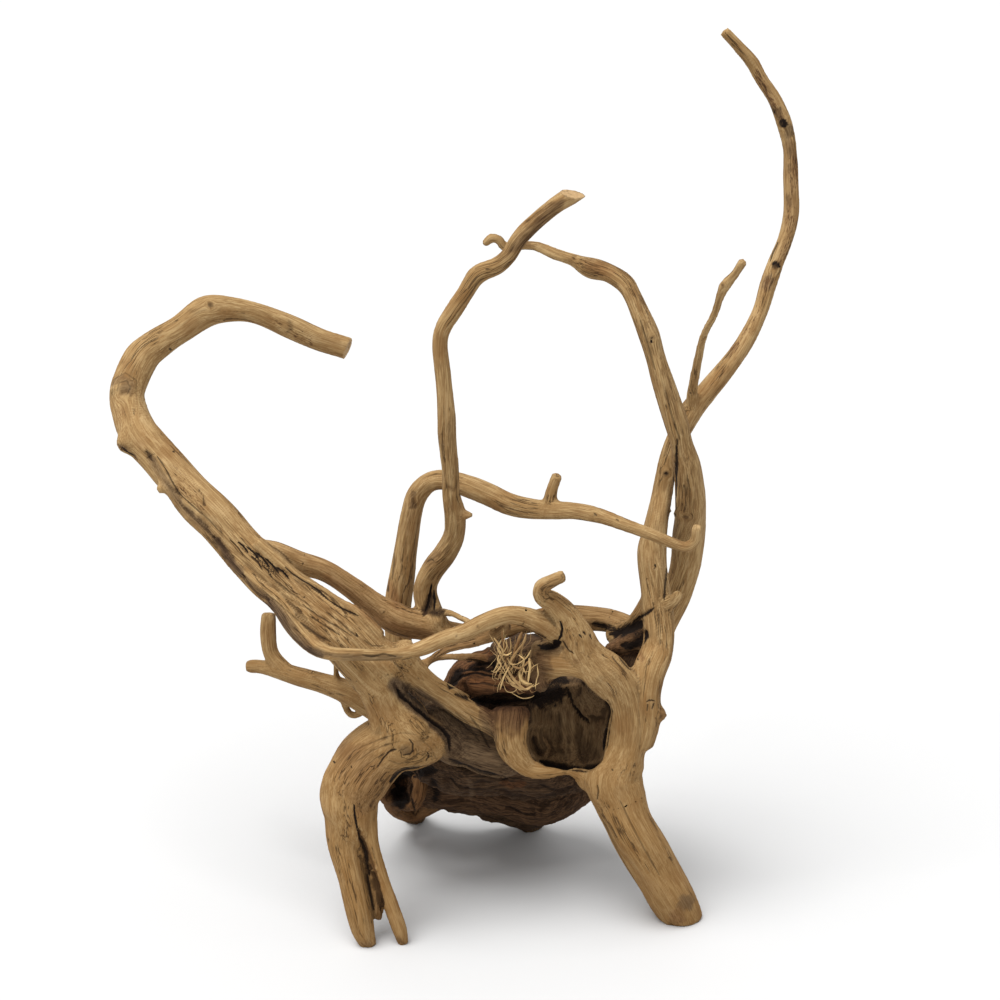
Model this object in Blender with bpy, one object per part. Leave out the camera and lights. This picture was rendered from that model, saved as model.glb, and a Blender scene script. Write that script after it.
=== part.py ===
"""A standing piece of branching driftwood: a hollow root crown on two legs, with curved limbs above it.

The wood is described as strands, the way its grain runs. A strand is a list of stations along its
middle line. All strands are fused into one body, which is then sawn at its main forks, so that each
limb, leg and root is a solid of its own.
"""

import math

import bmesh
import bpy
import numpy as np
from mathutils import Matrix, Vector, noise
from mathutils.kdtree import KDTree

MM = 0.001

# The viewpoint from which the stations are measured: a picture plane through the middle of the
# wood, seen from in front and above. PICTURE_MIDDLE is where its centre lies in the part's frame.
SIGHT_TILT = math.radians(20.0)
SIGHT_DISTANCE = 1160 * MM
PICTURE_MIDDLE = Vector((22.6, -3.6, 211.5)) * MM
PICTURE_MIDDLE_UP = 225 * MM
SIGHT = Vector((0, math.cos(SIGHT_TILT), -math.sin(SIGHT_TILT)))

# How the strands are meshed, fused and thinned out. SHRINKAGE is what flat sides and smoothing
# take off a strand's radius.
SIDES = 12
RING_STEP = 5 * MM
LEAST_RADIUS = 1.2 * MM
SHRINKAGE = 0.25 * MM
FUSE_VOXEL = 1.3 * MM
FUSE_SMOOTHING = 3
FACES_KEPT = 7400
SHARP_ANGLE = math.radians(60)

# The saw's cuts, and the block of ground that the feet stand on
SAW_KERF = 0.4 * MM
SAW_SIDES = 24
GROUND_DEPTH = 60 * MM
GROUND_WIDTH = 800 * MM

# A strand's end: how far its dome stands out and how wide it is, as shares of the radius
END_DOME = 0.3
END_WIDTH = 0.8

# A pocket's facets and how uneven it is
POCKET_DETAIL = 2
POCKET_LUMPS = 0.25
POCKET_LUMPS_ROUND = 1.7

# Weathering, as shares of the radius, and the sizes that it comes in
LUMPS = 0.1
LUMP_SIZE = 22 * MM
FURROWS = 0.1
FURROWS_ROUND = 1.6
FURROW_LENGTH = 60 * MM

# Colours of the wood: linear RGB, with the roughness
PALE_WOOD = ((0.42, 0.28, 0.14), 0.75)
FIBRE = ((0.55, 0.40, 0.20), 0.8)

# Strands: (across, up, back, radius) in millimetres for each station. Across is right of the
# picture's middle and up is above the front toe, both as seen on the picture plane. Back is how
# far the station lies behind that plane, in the part's own frame.
STRANDS = {
    "hook_limb": [
        (-61.5, 140.5, -50, 15.2), (-74.5, 154, -48, 14.2), (-86, 165.5, -44, 13),
        (-98.5, 176.5, -38, 9.8), (-107.5, 184.5, -34, 8.5), (-119, 195, -28, 8.7),
        (-130, 205, -21, 9), (-142, 218, -13, 9.8), (-154.5, 230, -4, 9.8),
        (-167.5, 243.5, 6, 10.4), (-179.5, 256.5, 16, 10.2), (-185, 269, 26, 9.2),
        (-186.5, 280, 34, 9), (-179, 296, 44, 8.5), (-170, 304, 50, 8),
        (-159, 311, 55, 7.5), (-146.5, 319, 59, 7.5), (-132.5, 320, 62, 6.4),
        (-121, 318, 64, 6), (-107.5, 312.6, 66, 6.2), (-92.5, 306, 67, 6), (-76, 300.8, 68, 5.6),
    ],
    "ridge_root": [
        (-174, 245, 2, 2.5), (-166, 232.5, -7, 3), (-156.5, 219, -13, 3.6),
        (-144, 207.5, -20, 4), (-131.5, 193.3, -27, 4.5), (-121, 182.5, -34.5, 4.6),
        (-111.2, 174, -42, 4.6), (-102.5, 161.5, -51, 4.5), (-94, 152.5, -59, 4.3),
        (-84, 148.2, -66, 3.5), (-72.5, 147.8, -67, 3.3), (-60, 147.5, -66, 3.2),
        (-47.5, 148.5, -64, 3.4), (-37.5, 151.5, -62, 4), (-27.5, 156, -60, 4),
        (-17.5, 159, -57, 4.7), (-7.5, 164, -54, 4.7), (2.5, 167.5, -51, 4.6),
        (11, 167, -49, 5), (20, 163.5, -47, 5.6), (27.5, 159.5, -45, 6), (34, 156.5, -42, 5.5),
    ],
    "edge_strip": [
        (-121, 204, -30, 3), (-110, 194.5, -35, 2.4), (-100, 186, -40, 2), (-90, 181, -43, 1.9),
        (-80, 174.5, -45, 1.9), (-72, 170.2, -47, 2.1), (-66, 164.5, -48, 2.6), (-60, 157.5, -49, 3),
    ],
    "knob": [
        (-61.5, 141, -50, 14), (-57, 126, -50, 11.5), (-51, 114, -50, 15.5), (-46, 106, -50, 16),
        (-38, 104, -49, 13), (-31.5, 103, -48, 9),
    ],
    "left_shoulder": [
        (-50, 106, -50, 15), (-61.5, 98, -51, 16.5), (-71.5, 86, -54, 17), (-75, 76, -57, 14.5),
        (-74.5, 68, -59, 13), (-73.5, 58, -61.5, 10),
    ],
    "left_prong": [
        (-78, 70, -59, 10), (-78, 52.5, -63, 8), (-75, 37.5, -67, 7.2), (-71.5, 22.5, -70, 6.9),
        (-68.5, 10, -71, 6), (-66, 3.5, -71, 4.6), (-65, 0, -71, 3.4),
    ],
    "right_prong": [
        (-68, 68, -60, 6.5), (-65, 52.5, -64, 4.6), (-60, 37.5, -67, 4), (-54.5, 22.5, -69, 4),
        (-50.5, 11, -70, 4.2), (-49, 5.5, -70, 3.4), (-48.5, 2, -70, 3),
    ],
    "splint": [
        (-69, 67.5, -56, 5), (-65, 45, -60, 4.5), (-61, 27.5, -63, 4), (-61, 16, -65, 2),
    ],
    "band": [
        (-52, 147, -50, 11), (-44, 139, -49, 7.5), (-34.3, 131.3, -47, 6.4), (-25, 126, -45, 6.2),
        (-16, 120, -44, 6.4), (-8, 115.5, -43, 6), (0, 110, -41, 5),
    ],
    "face": [
        (-34, 120, -37, 7), (-25, 106, -34, 11), (-12.5, 100, -31, 10.5), (0, 97, -30, 10.5),
        (8, 96, -30, 8),
    ],
    "rim": [
        (22, 146, -39, 9), (28, 145.5, -42, 10), (37, 144.5, -44, 10.5), (46, 142, -44, 11),
        (55, 136, -43, 11), (61, 126, -42, 10), (63.5, 115, -42, 9.5), (63, 104, -42, 10),
        (60, 94, -42, 12.9),
    ],
    "right_leg": [
        (61, 95, -42, 12), (56.5, 86, -43, 14.5), (59.5, 75, -45, 13.4), (63.5, 65, -47, 12.4),
        (69, 55, -48, 12.2), (75, 45, -48, 12.2), (81, 35, -47, 12), (87, 25, -45, 12), (92, 15.5, -43, 10),
    ],
    "strap": [
        (6, 120, -40, 9.5), (5, 111, -45, 9.5), (6, 102, -47, 8.4), (10, 95, -48, 6.2), (15, 90.5, -48, 4.6),
        (22.5, 89.5, -48, 4), (28.5, 90, -47, 3.5), (33.5, 90.2, -46, 2.8), (38.5, 88.5, -45, 3.6),
        (44, 86, -43, 7),
    ],
    "rim_end": [
        (21, 152, -37, 5.5), (20.5, 143, -40, 6), (21, 135, -40, 5.5), (24, 131, -37, 4),
    ],
    "heart_high": [
        (-28, 116, -16, 14), (-12, 112, -8, 17), (8, 116, -2, 20), (28, 118, 0, 22),
        (44, 122, -6, 17), (56, 124, -20, 11),
    ],
    "heart_middle": [
        (-38, 98, -6, 13), (-22, 96, 0, 17), (-4, 96, 4, 18), (16, 96, 4, 20), (34, 98, 0, 19),
        (50, 98, -12, 14),
    ],
    "heart_low": [
        (-55, 79, 12, 6), (-42, 83, 22, 9), (-28, 82, 26, 11), (-10, 82, 26, 12), (8, 79, 26, 13),
        (24, 78, 22, 14), (38, 86, 8, 12),
    ],
    "rear_web": [
        (-36, 80, 36, 8), (-18, 79, 36, 10), (0, 76, 38, 9), (14, 74, 40, 8),
    ],
    "keel_right": [
        (39, 82.5, 12, 5.5), (31, 77, 26, 6.2), (22, 70.3, 38, 6.3), (14, 67, 46, 6),
        (4, 68.5, 46, 5.8), (-4, 71, 43, 6), (-8, 71.8, 42, 6.2),
    ],
    "keel_left": [
        (-14, 78, 36, 4.6), (-26, 77.8, 42, 5.2), (-38, 74, 50, 4.8), (-44, 72.5, 54, 4.4),
    ],
    "right_foot": [
        (16, 78, 36, 9), (15, 68, 48, 6), (15, 60, 56, 5.5),
    ],
    "left_foot": [
        (-40, 78, 44, 6.5), (-42, 70, 57, 5.5), (-43, 64, 66, 5),
    ],
    "scoop_edge": [
        (-56, 77, 8, 3.5), (-53, 71, 26, 3.3), (-45, 67.3, 46, 3.6), (-35, 72.5, 42, 4.4),
        (-27, 81, 24, 6.6),
    ],
    "back_knee": [
        (-30, 108, 14, 15), (-6, 106, 26, 18), (18, 106, 28, 18), (38, 110, 18, 15),
        (56, 118, -2, 12),
    ],
    "torn_heart": [
        (50, 132, -18, 12), (58, 142, -14, 9), (64, 151, -11, 8), (70, 155, -9, 8),
        (77, 151, -14, 8),
    ],
    "chunk": [
        (-22, 129, -22, 7), (-14, 137, -19, 10), (2, 139, -18, 11), (16, 137, -24, 9),
        (26, 141, -34, 8),
    ],
    "pocket": [
        (0, 146, -20, 8), (14, 150, -26, 8), (28, 150, -32, 8),
    ],
    "left_lobe": [
        (-56, 78, 2, 5), (-53, 84, 16, 8), (-46, 78, 24, 9), (-42, 84, 32, 9),
    ],
    "lobe_core": [
        (-40, 86, 8, 4), (-41, 78, 6, 4), (-44, 72, 8, 3.2),
    ],
    "chunk_lip": [
        (-15, 133, -31, 4.2), (-2, 131.5, -35, 5), (12, 131, -34, 5),
    ],
    "tall_limb": [
        (69, 104, -42, 8), (72, 117.5, -41, 8.4), (72.2, 127.5, -40, 8.3), (74.6, 140, -36, 8.3),
        (78.5, 150, -28, 8), (79.5, 160, -24, 7.6), (78.5, 172.5, -18, 7.6), (77, 185, -12, 7.5),
        (76, 197.5, -6, 7), (78, 212.5, -2, 6), (80.5, 225, 11, 5.5), (82.5, 235, 15, 5.3),
        (85, 247.5, 18, 5), (90, 259, 22, 5.2), (96, 270, 27, 5.8), (103.5, 279, 32, 5.4),
        (112.5, 290, 38, 5), (122.5, 304, 45, 4.5), (130, 319, 52, 4.2), (134, 332.5, 58, 4.5),
        (138, 344, 63, 4.2), (142.5, 355, 67, 4), (145.5, 367.5, 71, 4), (145.5, 384, 75, 3.7),
        (145, 400, 78, 3.4), (142.5, 412.5, 80, 4), (137.5, 425, 81, 3.5), (131, 435, 81, 3.5),
        (126, 444, 81, 3.4), (119.5, 451.5, 80, 2.9), (112.5, 459, 79, 2.6),
    ],
    "tall_flank": [
        (75, 176, -14, 4.5), (70, 166.5, -12, 4.8), (63, 159.5, -8, 4.8), (56, 157.5, -2, 5),
    ],
    "tall_twig": [
        (96, 268, 26, 4), (96.5, 281, 22, 2.7), (99, 295, 16, 2.3), (102, 307.5, 11, 2.1),
        (107, 317.5, 6, 2.1), (110, 326.5, 2, 2.2), (112.5, 332, 0, 2.8), (117.5, 338, -2, 2.3),
        (121.5, 344, -4, 2.6),
    ],
    "arch_limb": [
        (76, 148, -6, 6), (82, 163, 6, 6.4), (88, 176, 13, 7), (92.6, 192.5, 14, 7.6),
        (94.5, 210, 10, 7.8), (95.5, 225, -5, 7.8), (93.5, 241, -13, 7), (90.5, 253.5, -17, 5.8),
        (87.5, 265, -19, 6.2), (84, 276, -19, 6.1), (80.5, 287, -19, 5.7), (77.5, 297.5, -18, 5.3),
        (74.5, 307.5, -17, 5.5), (70.5, 317.5, -15, 5.1), (66.5, 326.5, -12, 4.6),
        (62.5, 333, -8, 4.8), (54, 338.5, -3, 4.7), (45, 341, 2, 5.4), (36.5, 345, 7, 3.3),
        (27.5, 348, 11, 3), (17.5, 352, 14, 2.5), (9, 352, 16, 2.4), (2.5, 351.5, 17, 2.4),
        (-0.5, 355, 17, 2.4), (-4.5, 356, 17, 2.4), (-7.5, 353, 17, 2.2),
    ],
    "back_arch": [
        (-34, 112, -4, 8), (-43, 128, 10, 6.5), (-49, 145, 18, 6.3), (-51, 160, 22, 6.7),
        (-50.5, 175, 24, 6.8), (-48.5, 190, 25, 6.3), (-46.5, 205, 26, 5.9), (-44.5, 217.5, 26, 5.5),
        (-41.5, 227.5, 25, 5.3), (-35, 234, 22, 5), (-26.5, 235, 18, 5.1), (-16, 232, 12, 5.7),
        (-5, 227.5, 6, 5.7), (5, 223, 0, 5.6), (16, 220.5, -6, 5.3), (26, 220, -11, 5),
        (37.5, 219.5, -17, 4.2), (50, 217, -23, 3.9), (62.5, 212.5, -28, 3.4),
        (75, 208, -32, 3.1), (86, 203.5, -35, 3), (93, 201.5, -37, 2.8), (97.5, 204.5, -38, 2.7),
        (98.5, 211.5, -39, 2.6),
    ],
    "back_arch_stub": [
        (24, 220, -10, 4), (26, 230, -10, 3.2), (28.5, 237, -11, 3),
    ],
    "upright": [
        (-32, 163, -2, 6.5), (-36, 172.5, 2, 6.2), (-37.5, 181, 3, 6), (-34.2, 189.3, 1, 6),
        (-27.7, 198, -3, 5.7), (-23, 207.2, -7, 5.4), (-22.5, 216.5, -10, 5.5),
        (-24.5, 227.5, -13, 4.6), (-25, 240, -16, 4.5), (-26.5, 255, -19, 4.6),
        (-27, 270, -21, 4.6), (-28.5, 287.5, -22, 4.2), (-30, 302.5, -22, 4.1),
        (-28.5, 311, -22, 4.2), (-23, 320, -21, 4.3), (-17.5, 328.5, -20, 4.2),
        (-11.5, 337.5, -19, 4.8), (-2, 342, -18, 4.6), (4, 347, -17, 4.5), (8, 353.5, -17, 4.4),
        (12.5, 359, -16, 4.4), (20, 366, -15, 4.4), (28, 372.5, -14, 4.6), (36.5, 378, -13, 5.2),
    ],
    "upright_stub": [
        (-22, 216.5, -11, 3), (-17.5, 217.5, -13, 2.2), (-14.5, 217.5, -14, 1.8),
    ],
    "long_root": [
        (-125, 202, -22, 4.8), (-112.5, 199, -20, 5.6), (-100, 193.7, -17, 5.9),
        (-87.5, 189.6, -14, 5.6), (-75, 181.4, -11, 5.7), (-62.5, 172, -8, 6.4),
        (-51, 165, -6, 8.2), (-38, 161.5, -3, 6.8), (-25, 159, 0, 5.5), (-10, 158, 4, 5.2),
        (10, 162.5, 8, 5.2), (27.5, 166.5, 10, 5.5), (42.5, 166, 9, 6.4), (56, 164, 5, 6),
        (67.5, 159, -3, 6.5), (76, 152.5, -14, 7),
    ],
    "torn_spur": [
        (54, 151, -24, 2), (62, 153, -18, 4.5), (72, 157, -14, 7), (78, 160, -16, 7),
    ],
    "curl_stub": [
        (47, 140, -44, 12), (40.8, 149.2, -45, 10.2), (38, 158, -46, 8.6), (33, 167.5, -47, 6.6),
        (27, 173.5, -48, 5.6), (21.5, 177, -50, 4.8), (21, 181.5, -52, 4.2), (25, 184, -54, 3.8),
        (31.5, 187, -55, 3.5),
    ],
    "low_branch": [
        (-30, 106, -12, 10), (-50, 114, -8, 8), (-64, 122, -4, 6.3), (-75, 128.5, 2, 6),
        (-87.5, 133, 10, 5.5), (-100, 136.5, 18, 5), (-110, 139.5, 24, 4.5), (-119, 141.5, 29, 3.6),
        (-125.5, 142, 32, 3.3),
    ],
    "low_spur": [
        (-106, 138, 22, 4.5), (-114.2, 147.5, 27, 4.1), (-116, 157.5, 30, 4.2), (-115.7, 167.5, 33, 3.7),
    ],
    "low_twig": [
        (-81.5, 131, 6, 1.8), (-82, 141, 4, 1.5), (-81.5, 150, -6, 1.5), (-80.5, 157, -24, 1.5),
    ],
    "low_loop": [
        (-79, 129, 5, 2.2), (-77, 121, 4, 1.8), (-74, 117.5, 2, 1.8), (-69, 119, -2, 1.9),
        (-66, 124, -4, 2.4),
    ],
    "rootlet_long": [
        (-38, 141, -40, 1.6), (-33, 146.5, -41, 1.8), (-25, 151, -43, 2.1), (-12.5, 154, -45, 2.4),
        (-2, 157.5, -47, 2.6), (4, 162, -48, 2.8),
    ],
    "rootlet_low": [
        (-43, 142, -42, 1.8), (-31, 146, -38, 1.7), (-19, 146.5, -33, 1.9), (-8, 146, -24, 2.4),
    ],
    "rootlet_upright": [
        (-33, 169, -1, 2.4), (-25, 168.5, -7, 1.8), (-18.5, 165.6, -16, 1.7), (-11, 162.5, -30, 1.9),
        (-4, 164, -48, 2.4),
    ],
    "fibres": [
        (4, 163.5, -51, 3), (4.5, 158, -53, 3), (7, 152, -55, 4), (4.5, 144, -55, 5.5),
        (6, 135, -54, 4.5), (11, 126, -53, 2),
    ],
    "fibres_left": [
        (6, 145, -56, 4), (0.5, 147.5, -59, 3), (-2.5, 149, -61, 1.8),
    ],
    "fibres_right": [
        (6, 144, -55, 4), (12, 139, -55, 3.4), (14.5, 132, -55, 2),
    ],
    "hook_burl": [
        (-180, 263, 20, 8), (-184, 256, 15, 7.5), (-186.5, 251.5, 11, 6),
    ],
    "hook_spur_high": [
        (-188, 279, 30, 3.5), (-194.5, 280.5, 28, 1.9),
    ],
    "hook_spur_low": [
        (-164, 234, -6, 4), (-170.5, 230, -7, 2.2),
    ],
    "tall_knob": [
        (82, 172, -22, 4), (87.5, 175.5, -24, 3.2), (89.5, 178.5, -24, 2.4),
    ],
    "side_knob": [
        (75, 120, -40, 6.5), (79.8, 117.4, -41, 4), (81, 116.4, -41, 3),
    ],
}

# A strand's depth for its width, where it isn't round
FLATNESS = {
    "hook_limb": 0.85, "strap": 0.5, "band": 0.8, "chunk_lip": 0.6, "keel_left": 0.8,
}

# Grooves: strands of rotten wood that have gone
GROOVES = {
    "knob_groove": [
        (-52.5, 132.5, -62, 3.2), (-46, 128, -59, 4.6), (-39.5, 123, -55, 5.2), (-33, 117.5, -52, 5.4),
        (-27, 111.5, -50, 5.4), (-22.5, 104, -48, 5.4), (-21, 95, -46, 5),
    ],
}

# The main hollow's outline on the picture plane, (across, up), clockwise from its upper left
HOLLOW_RIM = [
    (22.5, 130), (25, 134), (30, 137), (36, 137), (41, 135.5), (45, 131), (50, 126.5), (54, 124),
    (56, 120), (54.5, 114), (53.5, 107.5), (52.5, 100), (51.5, 94.5), (48.5, 92), (45.5, 89.5),
    (41.5, 90.5), (37, 91), (33, 89.5), (27.5, 91), (22.5, 91.5), (18, 94.5), (14.5, 98.5),
    (13, 104), (13.5, 110), (16.5, 114), (16, 119), (14, 123.5), (17.5, 127),
]

# How the hollow runs in from its outline: how far back, and its width as a share of the outline's
HOLLOW_RINGS = [(-75, 1), (-38, 1), (-30, 1.04), (-20, 1), (-12, 0.85), (-6, 0.6), (-3, 0.3)]

# Smaller hollows: a station's place and the hollow's half width, height and depth
POCKETS = [
    (3, 125.5, -36, 23, 3.2, 13),
    (-50, 80, 2, 8, 9, 15),
]

# Saw cuts at the forks: (strand, number of its station there, the blade's radius in millimetres)
SAW_CUTS = [
    ("knob", 0, 26),
    ("band", 1, 17),
    ("left_shoulder", 4, 24),
    ("right_leg", 2, 21),
    ("ridge_root", 13, 7),
    ("ridge_root", 18, 9),
    ("long_root", 2, 10),
    ("long_root", 13, 11),
    ("upright", 2, 9),
    ("back_arch", 1, 11),
    ("tall_limb", 7, 11),
    ("arch_limb", 2, 10),
    ("tall_twig", 1, 6),
    ("curl_stub", 5, 7),
    ("low_branch", 2, 10),
    ("fibres", 2, 8),
    ("rootlet_upright", 2, 4),
    ("rootlet_long", 3, 4.5),
]

# The pieces that the cuts leave: (name, strand, number of a station inside the piece, looks)
PIECES = [
    ("root_crown", "heart_middle", 1, PALE_WOOD),
    ("left_leg", "left_prong", 3, PALE_WOOD),
    ("right_leg", "right_leg", 5, PALE_WOOD),
    ("hook_limb", "hook_limb", 12, PALE_WOOD),
    ("crossing_root", "ridge_root", 16, PALE_WOOD),
    ("long_root", "long_root", 6, PALE_WOOD),
    ("front_upright", "upright", 10, PALE_WOOD),
    ("back_arch_limb", "back_arch", 10, PALE_WOOD),
    ("tall_limb", "tall_limb", 14, PALE_WOOD),
    ("tall_twig", "tall_twig", 4, PALE_WOOD),
    ("arch_limb", "arch_limb", 12, PALE_WOOD),
    ("curl_stub", "curl_stub", 6, PALE_WOOD),
    ("low_branch", "low_branch", 5, PALE_WOOD),
    ("fibre_clump", "fibres", 3, FIBRE),
]


def placed(across, up, back):
    """A station's place in the part's frame, in metres, and how much it grew by lying further off."""
    side, rise = across * MM, up * MM - PICTURE_MIDDLE_UP
    tilt_sin, tilt_cos = math.sin(SIGHT_TILT), math.cos(SIGHT_TILT)
    depth = (back * MM - rise * tilt_sin) / (tilt_cos + rise * tilt_sin / SIGHT_DISTANCE)
    growth = 1 + depth / SIGHT_DISTANCE
    seen = Vector((side * growth, back * MM, rise * growth * tilt_cos - depth * tilt_sin))
    return PICTURE_MIDDLE + seen, growth


def middle_line(stations):
    """Rows of x, y, z and radius in metres, on a smooth curve through a strand's stations."""
    knots = []
    for across, up, back, radius in stations:
        place, growth = placed(across, up, back)
        knots.append((*place, radius * MM * growth))
    knots = np.array(knots)
    knots = np.vstack([2 * knots[0] - knots[1], knots, 2 * knots[-1] - knots[-2]])
    rows = []
    for before, start, end, after in zip(knots, knots[1:], knots[2:], knots[3:]):
        steps = max(2, math.ceil(np.linalg.norm((end - start)[:3]) / RING_STEP))
        for share in np.arange(steps) / steps:
            bend = 2 * before - 5 * start + 4 * end - after
            turn = 3 * start - before - 3 * end + after
            rows.append(start + ((end - before) * share + bend * share**2 + turn * share**3) / 2)
    rows.append(knots[-2])
    return np.array(rows)


def at_station(strand, number):
    """The place of a strand's station, and the way the strand runs there."""
    stations = STRANDS[strand]
    behind = placed(*stations[max(number - 1, 0)][:3])[0]
    ahead = placed(*stations[min(number + 1, len(stations) - 1)][:3])[0]
    return placed(*stations[number][:3])[0], (ahead - behind).normalized()


def add_ring(bm, place, wide, deep, radius):
    """A ring of vertices across a strand, with the lumps and long furrows of weathered wood."""
    ring = []
    for turn in np.arange(SIDES) / SIDES * math.tau:
        outward = wide * math.cos(turn) + deep * math.sin(turn)
        lump = noise.noise((place + outward * radius) / LUMP_SIZE)
        furrow = noise.noise(outward * FURROWS_ROUND + place / FURROW_LENGTH)
        ring.append(bm.verts.new(place + outward * radius * (1 + LUMPS * lump + FURROWS * furrow)))
    return ring


def join_rings(bm, rings):
    """Faces between each ring and the next, and over both ends."""
    for ring, after in zip(rings, rings[1:]):
        for i in range(len(ring)):
            j = (i + 1) % len(ring)
            bm.faces.new((ring[i], ring[j], after[j], after[i]))
    bm.faces.new(rings[0][::-1])
    bm.faces.new(rings[-1])


def add_strand(bm, stations, flatness=1.0):
    """A closed tube along a strand, with a slightly domed end on each side."""
    rows = middle_line(stations)
    ways = np.gradient(rows[:, :3], axis=0)
    domes = [(0, -END_DOME, END_WIDTH), *((i, 0, 1) for i in range(len(rows)))]
    domes.append((len(rows) - 1, END_DOME, END_WIDTH))
    rings = []
    for index, ahead, width in domes:
        way = Vector(ways[index]).normalized()
        deep = (SIGHT - way * SIGHT.dot(way)).normalized()
        radius = max(rows[index][3], LEAST_RADIUS) + SHRINKAGE
        place = Vector(rows[index][:3]) + way * ahead * radius
        rings.append(add_ring(bm, place, way.cross(deep), deep * flatness, radius * width))
    join_rings(bm, rings)


def mesh_object(name, bm):
    """An object in the scene that holds the bmesh's shape, facing out."""
    bmesh.ops.recalc_face_normals(bm, faces=bm.faces)
    mesh = bpy.data.meshes.new(name)
    bm.to_mesh(mesh)
    bm.free()
    obj = bpy.data.objects.new(name, mesh)
    bpy.context.scene.collection.objects.link(obj)
    return obj


def fused_strands():
    """All strands as one thinned-out body, with its grooves."""
    bm = bmesh.new()
    for strand, stations in STRANDS.items():
        add_strand(bm, stations, FLATNESS.get(strand, 1.0))
    wood = mesh_object("wood", bm)
    fuse = wood.modifiers.new("fuse", "REMESH")
    fuse.mode = "VOXEL"
    fuse.voxel_size = FUSE_VOXEL
    soften = wood.modifiers.new("soften", "SMOOTH")
    soften.iterations = FUSE_SMOOTHING
    apply_modifiers(wood)
    for stations in GROOVES.values():
        cut_away(wood, groove(stations))
    thin = wood.modifiers.new("thin", "DECIMATE")
    thin.ratio = FACES_KEPT / (2 * len(wood.data.polygons))
    apply_modifiers(wood)
    keep_shape(wood, max(loose_shapes(wood), key=len))
    return wood


def keep_shape(wood, shape):
    """Drops every vertex of the wood that isn't in the shape."""
    bm = bmesh.new()
    bm.from_mesh(wood.data)
    bmesh.ops.delete(bm, geom=[v for v in bm.verts if v.index not in shape], context="VERTS")
    bmesh.ops.triangulate(bm, faces=bm.faces)
    bm.to_mesh(wood.data)
    bm.free()


def apply_modifiers(obj):
    """Makes the modifiers' result the object's own mesh."""
    graph = bpy.context.evaluated_depsgraph_get()
    mesh = bpy.data.meshes.new_from_object(obj.evaluated_get(graph))
    obj.modifiers.clear()
    obj.data = mesh


def cut_away(obj, cutter):
    """Takes a cutter's shape from the object, and the cutter from the scene."""
    cut = obj.modifiers.new("cut", "BOOLEAN")
    cut.operation = "DIFFERENCE"
    cut.object = cutter
    apply_modifiers(obj)
    bpy.data.objects.remove(cutter)


def ground():
    """All that lies below the floor, with room round the wood."""
    bm = bmesh.new()
    below = Matrix.Translation((0, 0, -GROUND_DEPTH / 2))
    size = Matrix.Diagonal((GROUND_WIDTH, GROUND_WIDTH, GROUND_DEPTH, 1))
    bmesh.ops.create_cube(bm, size=1, matrix=below @ size)
    return mesh_object("ground", bm)


def groove(stations):
    """A strand's shape, to be cut away."""
    bm = bmesh.new()
    add_strand(bm, stations)
    return mesh_object("groove", bm)


def main_hollow():
    """The hollow behind the rim, which follows its outline along the line of sight."""
    bm = bmesh.new()
    middle = np.mean(HOLLOW_RIM, axis=0)
    rings = []
    for back, share in HOLLOW_RINGS:
        ring = middle + (np.array(HOLLOW_RIM) - middle) * share
        rings.append([bm.verts.new(placed(across, up, back)[0]) for across, up in ring.tolist()])
    join_rings(bm, rings)
    return mesh_object("hollow", bm)


def pocket(across, up, back, *half_sizes):
    """An uneven egg-shaped hollow, lying along the line of sight."""
    bm = bmesh.new()
    bmesh.ops.create_icosphere(bm, subdivisions=POCKET_DETAIL, radius=1)
    place = placed(across, up, back)[0]
    turned = Matrix.Translation(place) @ Matrix.Rotation(-SIGHT_TILT, 4, "X")
    width, height, depth = (size * MM for size in half_sizes)
    for vertex in bm.verts:
        uneven = 1 + POCKET_LUMPS * noise.noise(vertex.co * POCKET_LUMPS_ROUND)
        x, y, z = vertex.co * uneven
        vertex.co = turned @ Vector((x * width, y * depth, z * height))
    return mesh_object("pocket", bm)


def saw_blade(strand, station, blade):
    """A thin disc across a strand."""
    bm = bmesh.new()
    place, way = at_station(strand, station)
    turned = Matrix.Translation(place) @ way.to_track_quat("Z", "Y").to_matrix().to_4x4()
    bmesh.ops.create_cone(bm, cap_ends=True, segments=SAW_SIDES, radius1=blade * MM,
                          radius2=blade * MM, depth=SAW_KERF, matrix=turned)
    return mesh_object("saw_blade", bm)


def loose_shapes(wood):
    """The body's separate shapes, each as a set of vertex numbers."""
    bm = bmesh.new()
    bm.from_mesh(wood.data)
    shapes = []
    left = set(bm.verts)
    while left:
        shape = {left.pop()}
        edge = list(shape)
        while edge:
            beside = {e.other_vert(v) for v in edge for e in v.link_edges} - shape
            shape |= beside
            edge = list(beside)
        left -= shape
        shapes.append({v.index for v in shape})
    bm.free()
    return shapes


def wood_material(name, looks):
    """A Principled material of one colour."""
    colour, roughness = looks
    material = bpy.data.materials.new(name)
    material.use_nodes = True
    shader = material.node_tree.nodes["Principled BSDF"]
    shader.inputs["Base Color"].default_value = (*colour, 1)
    shader.inputs["Roughness"].default_value = roughness
    shader.inputs["Metallic"].default_value = 0
    return material


def add_piece(name, wood, shape, looks):
    """One of the sawn body's shapes as an object of its own."""
    piece = bpy.data.objects.new(name, wood.data.copy())
    bpy.context.scene.collection.objects.link(piece)
    keep_shape(piece, shape)
    piece.data.materials.append(wood_material(name, looks))
    piece.data.shade_smooth()
    piece.data.set_sharp_from_angle(angle=SHARP_ANGLE)


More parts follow.
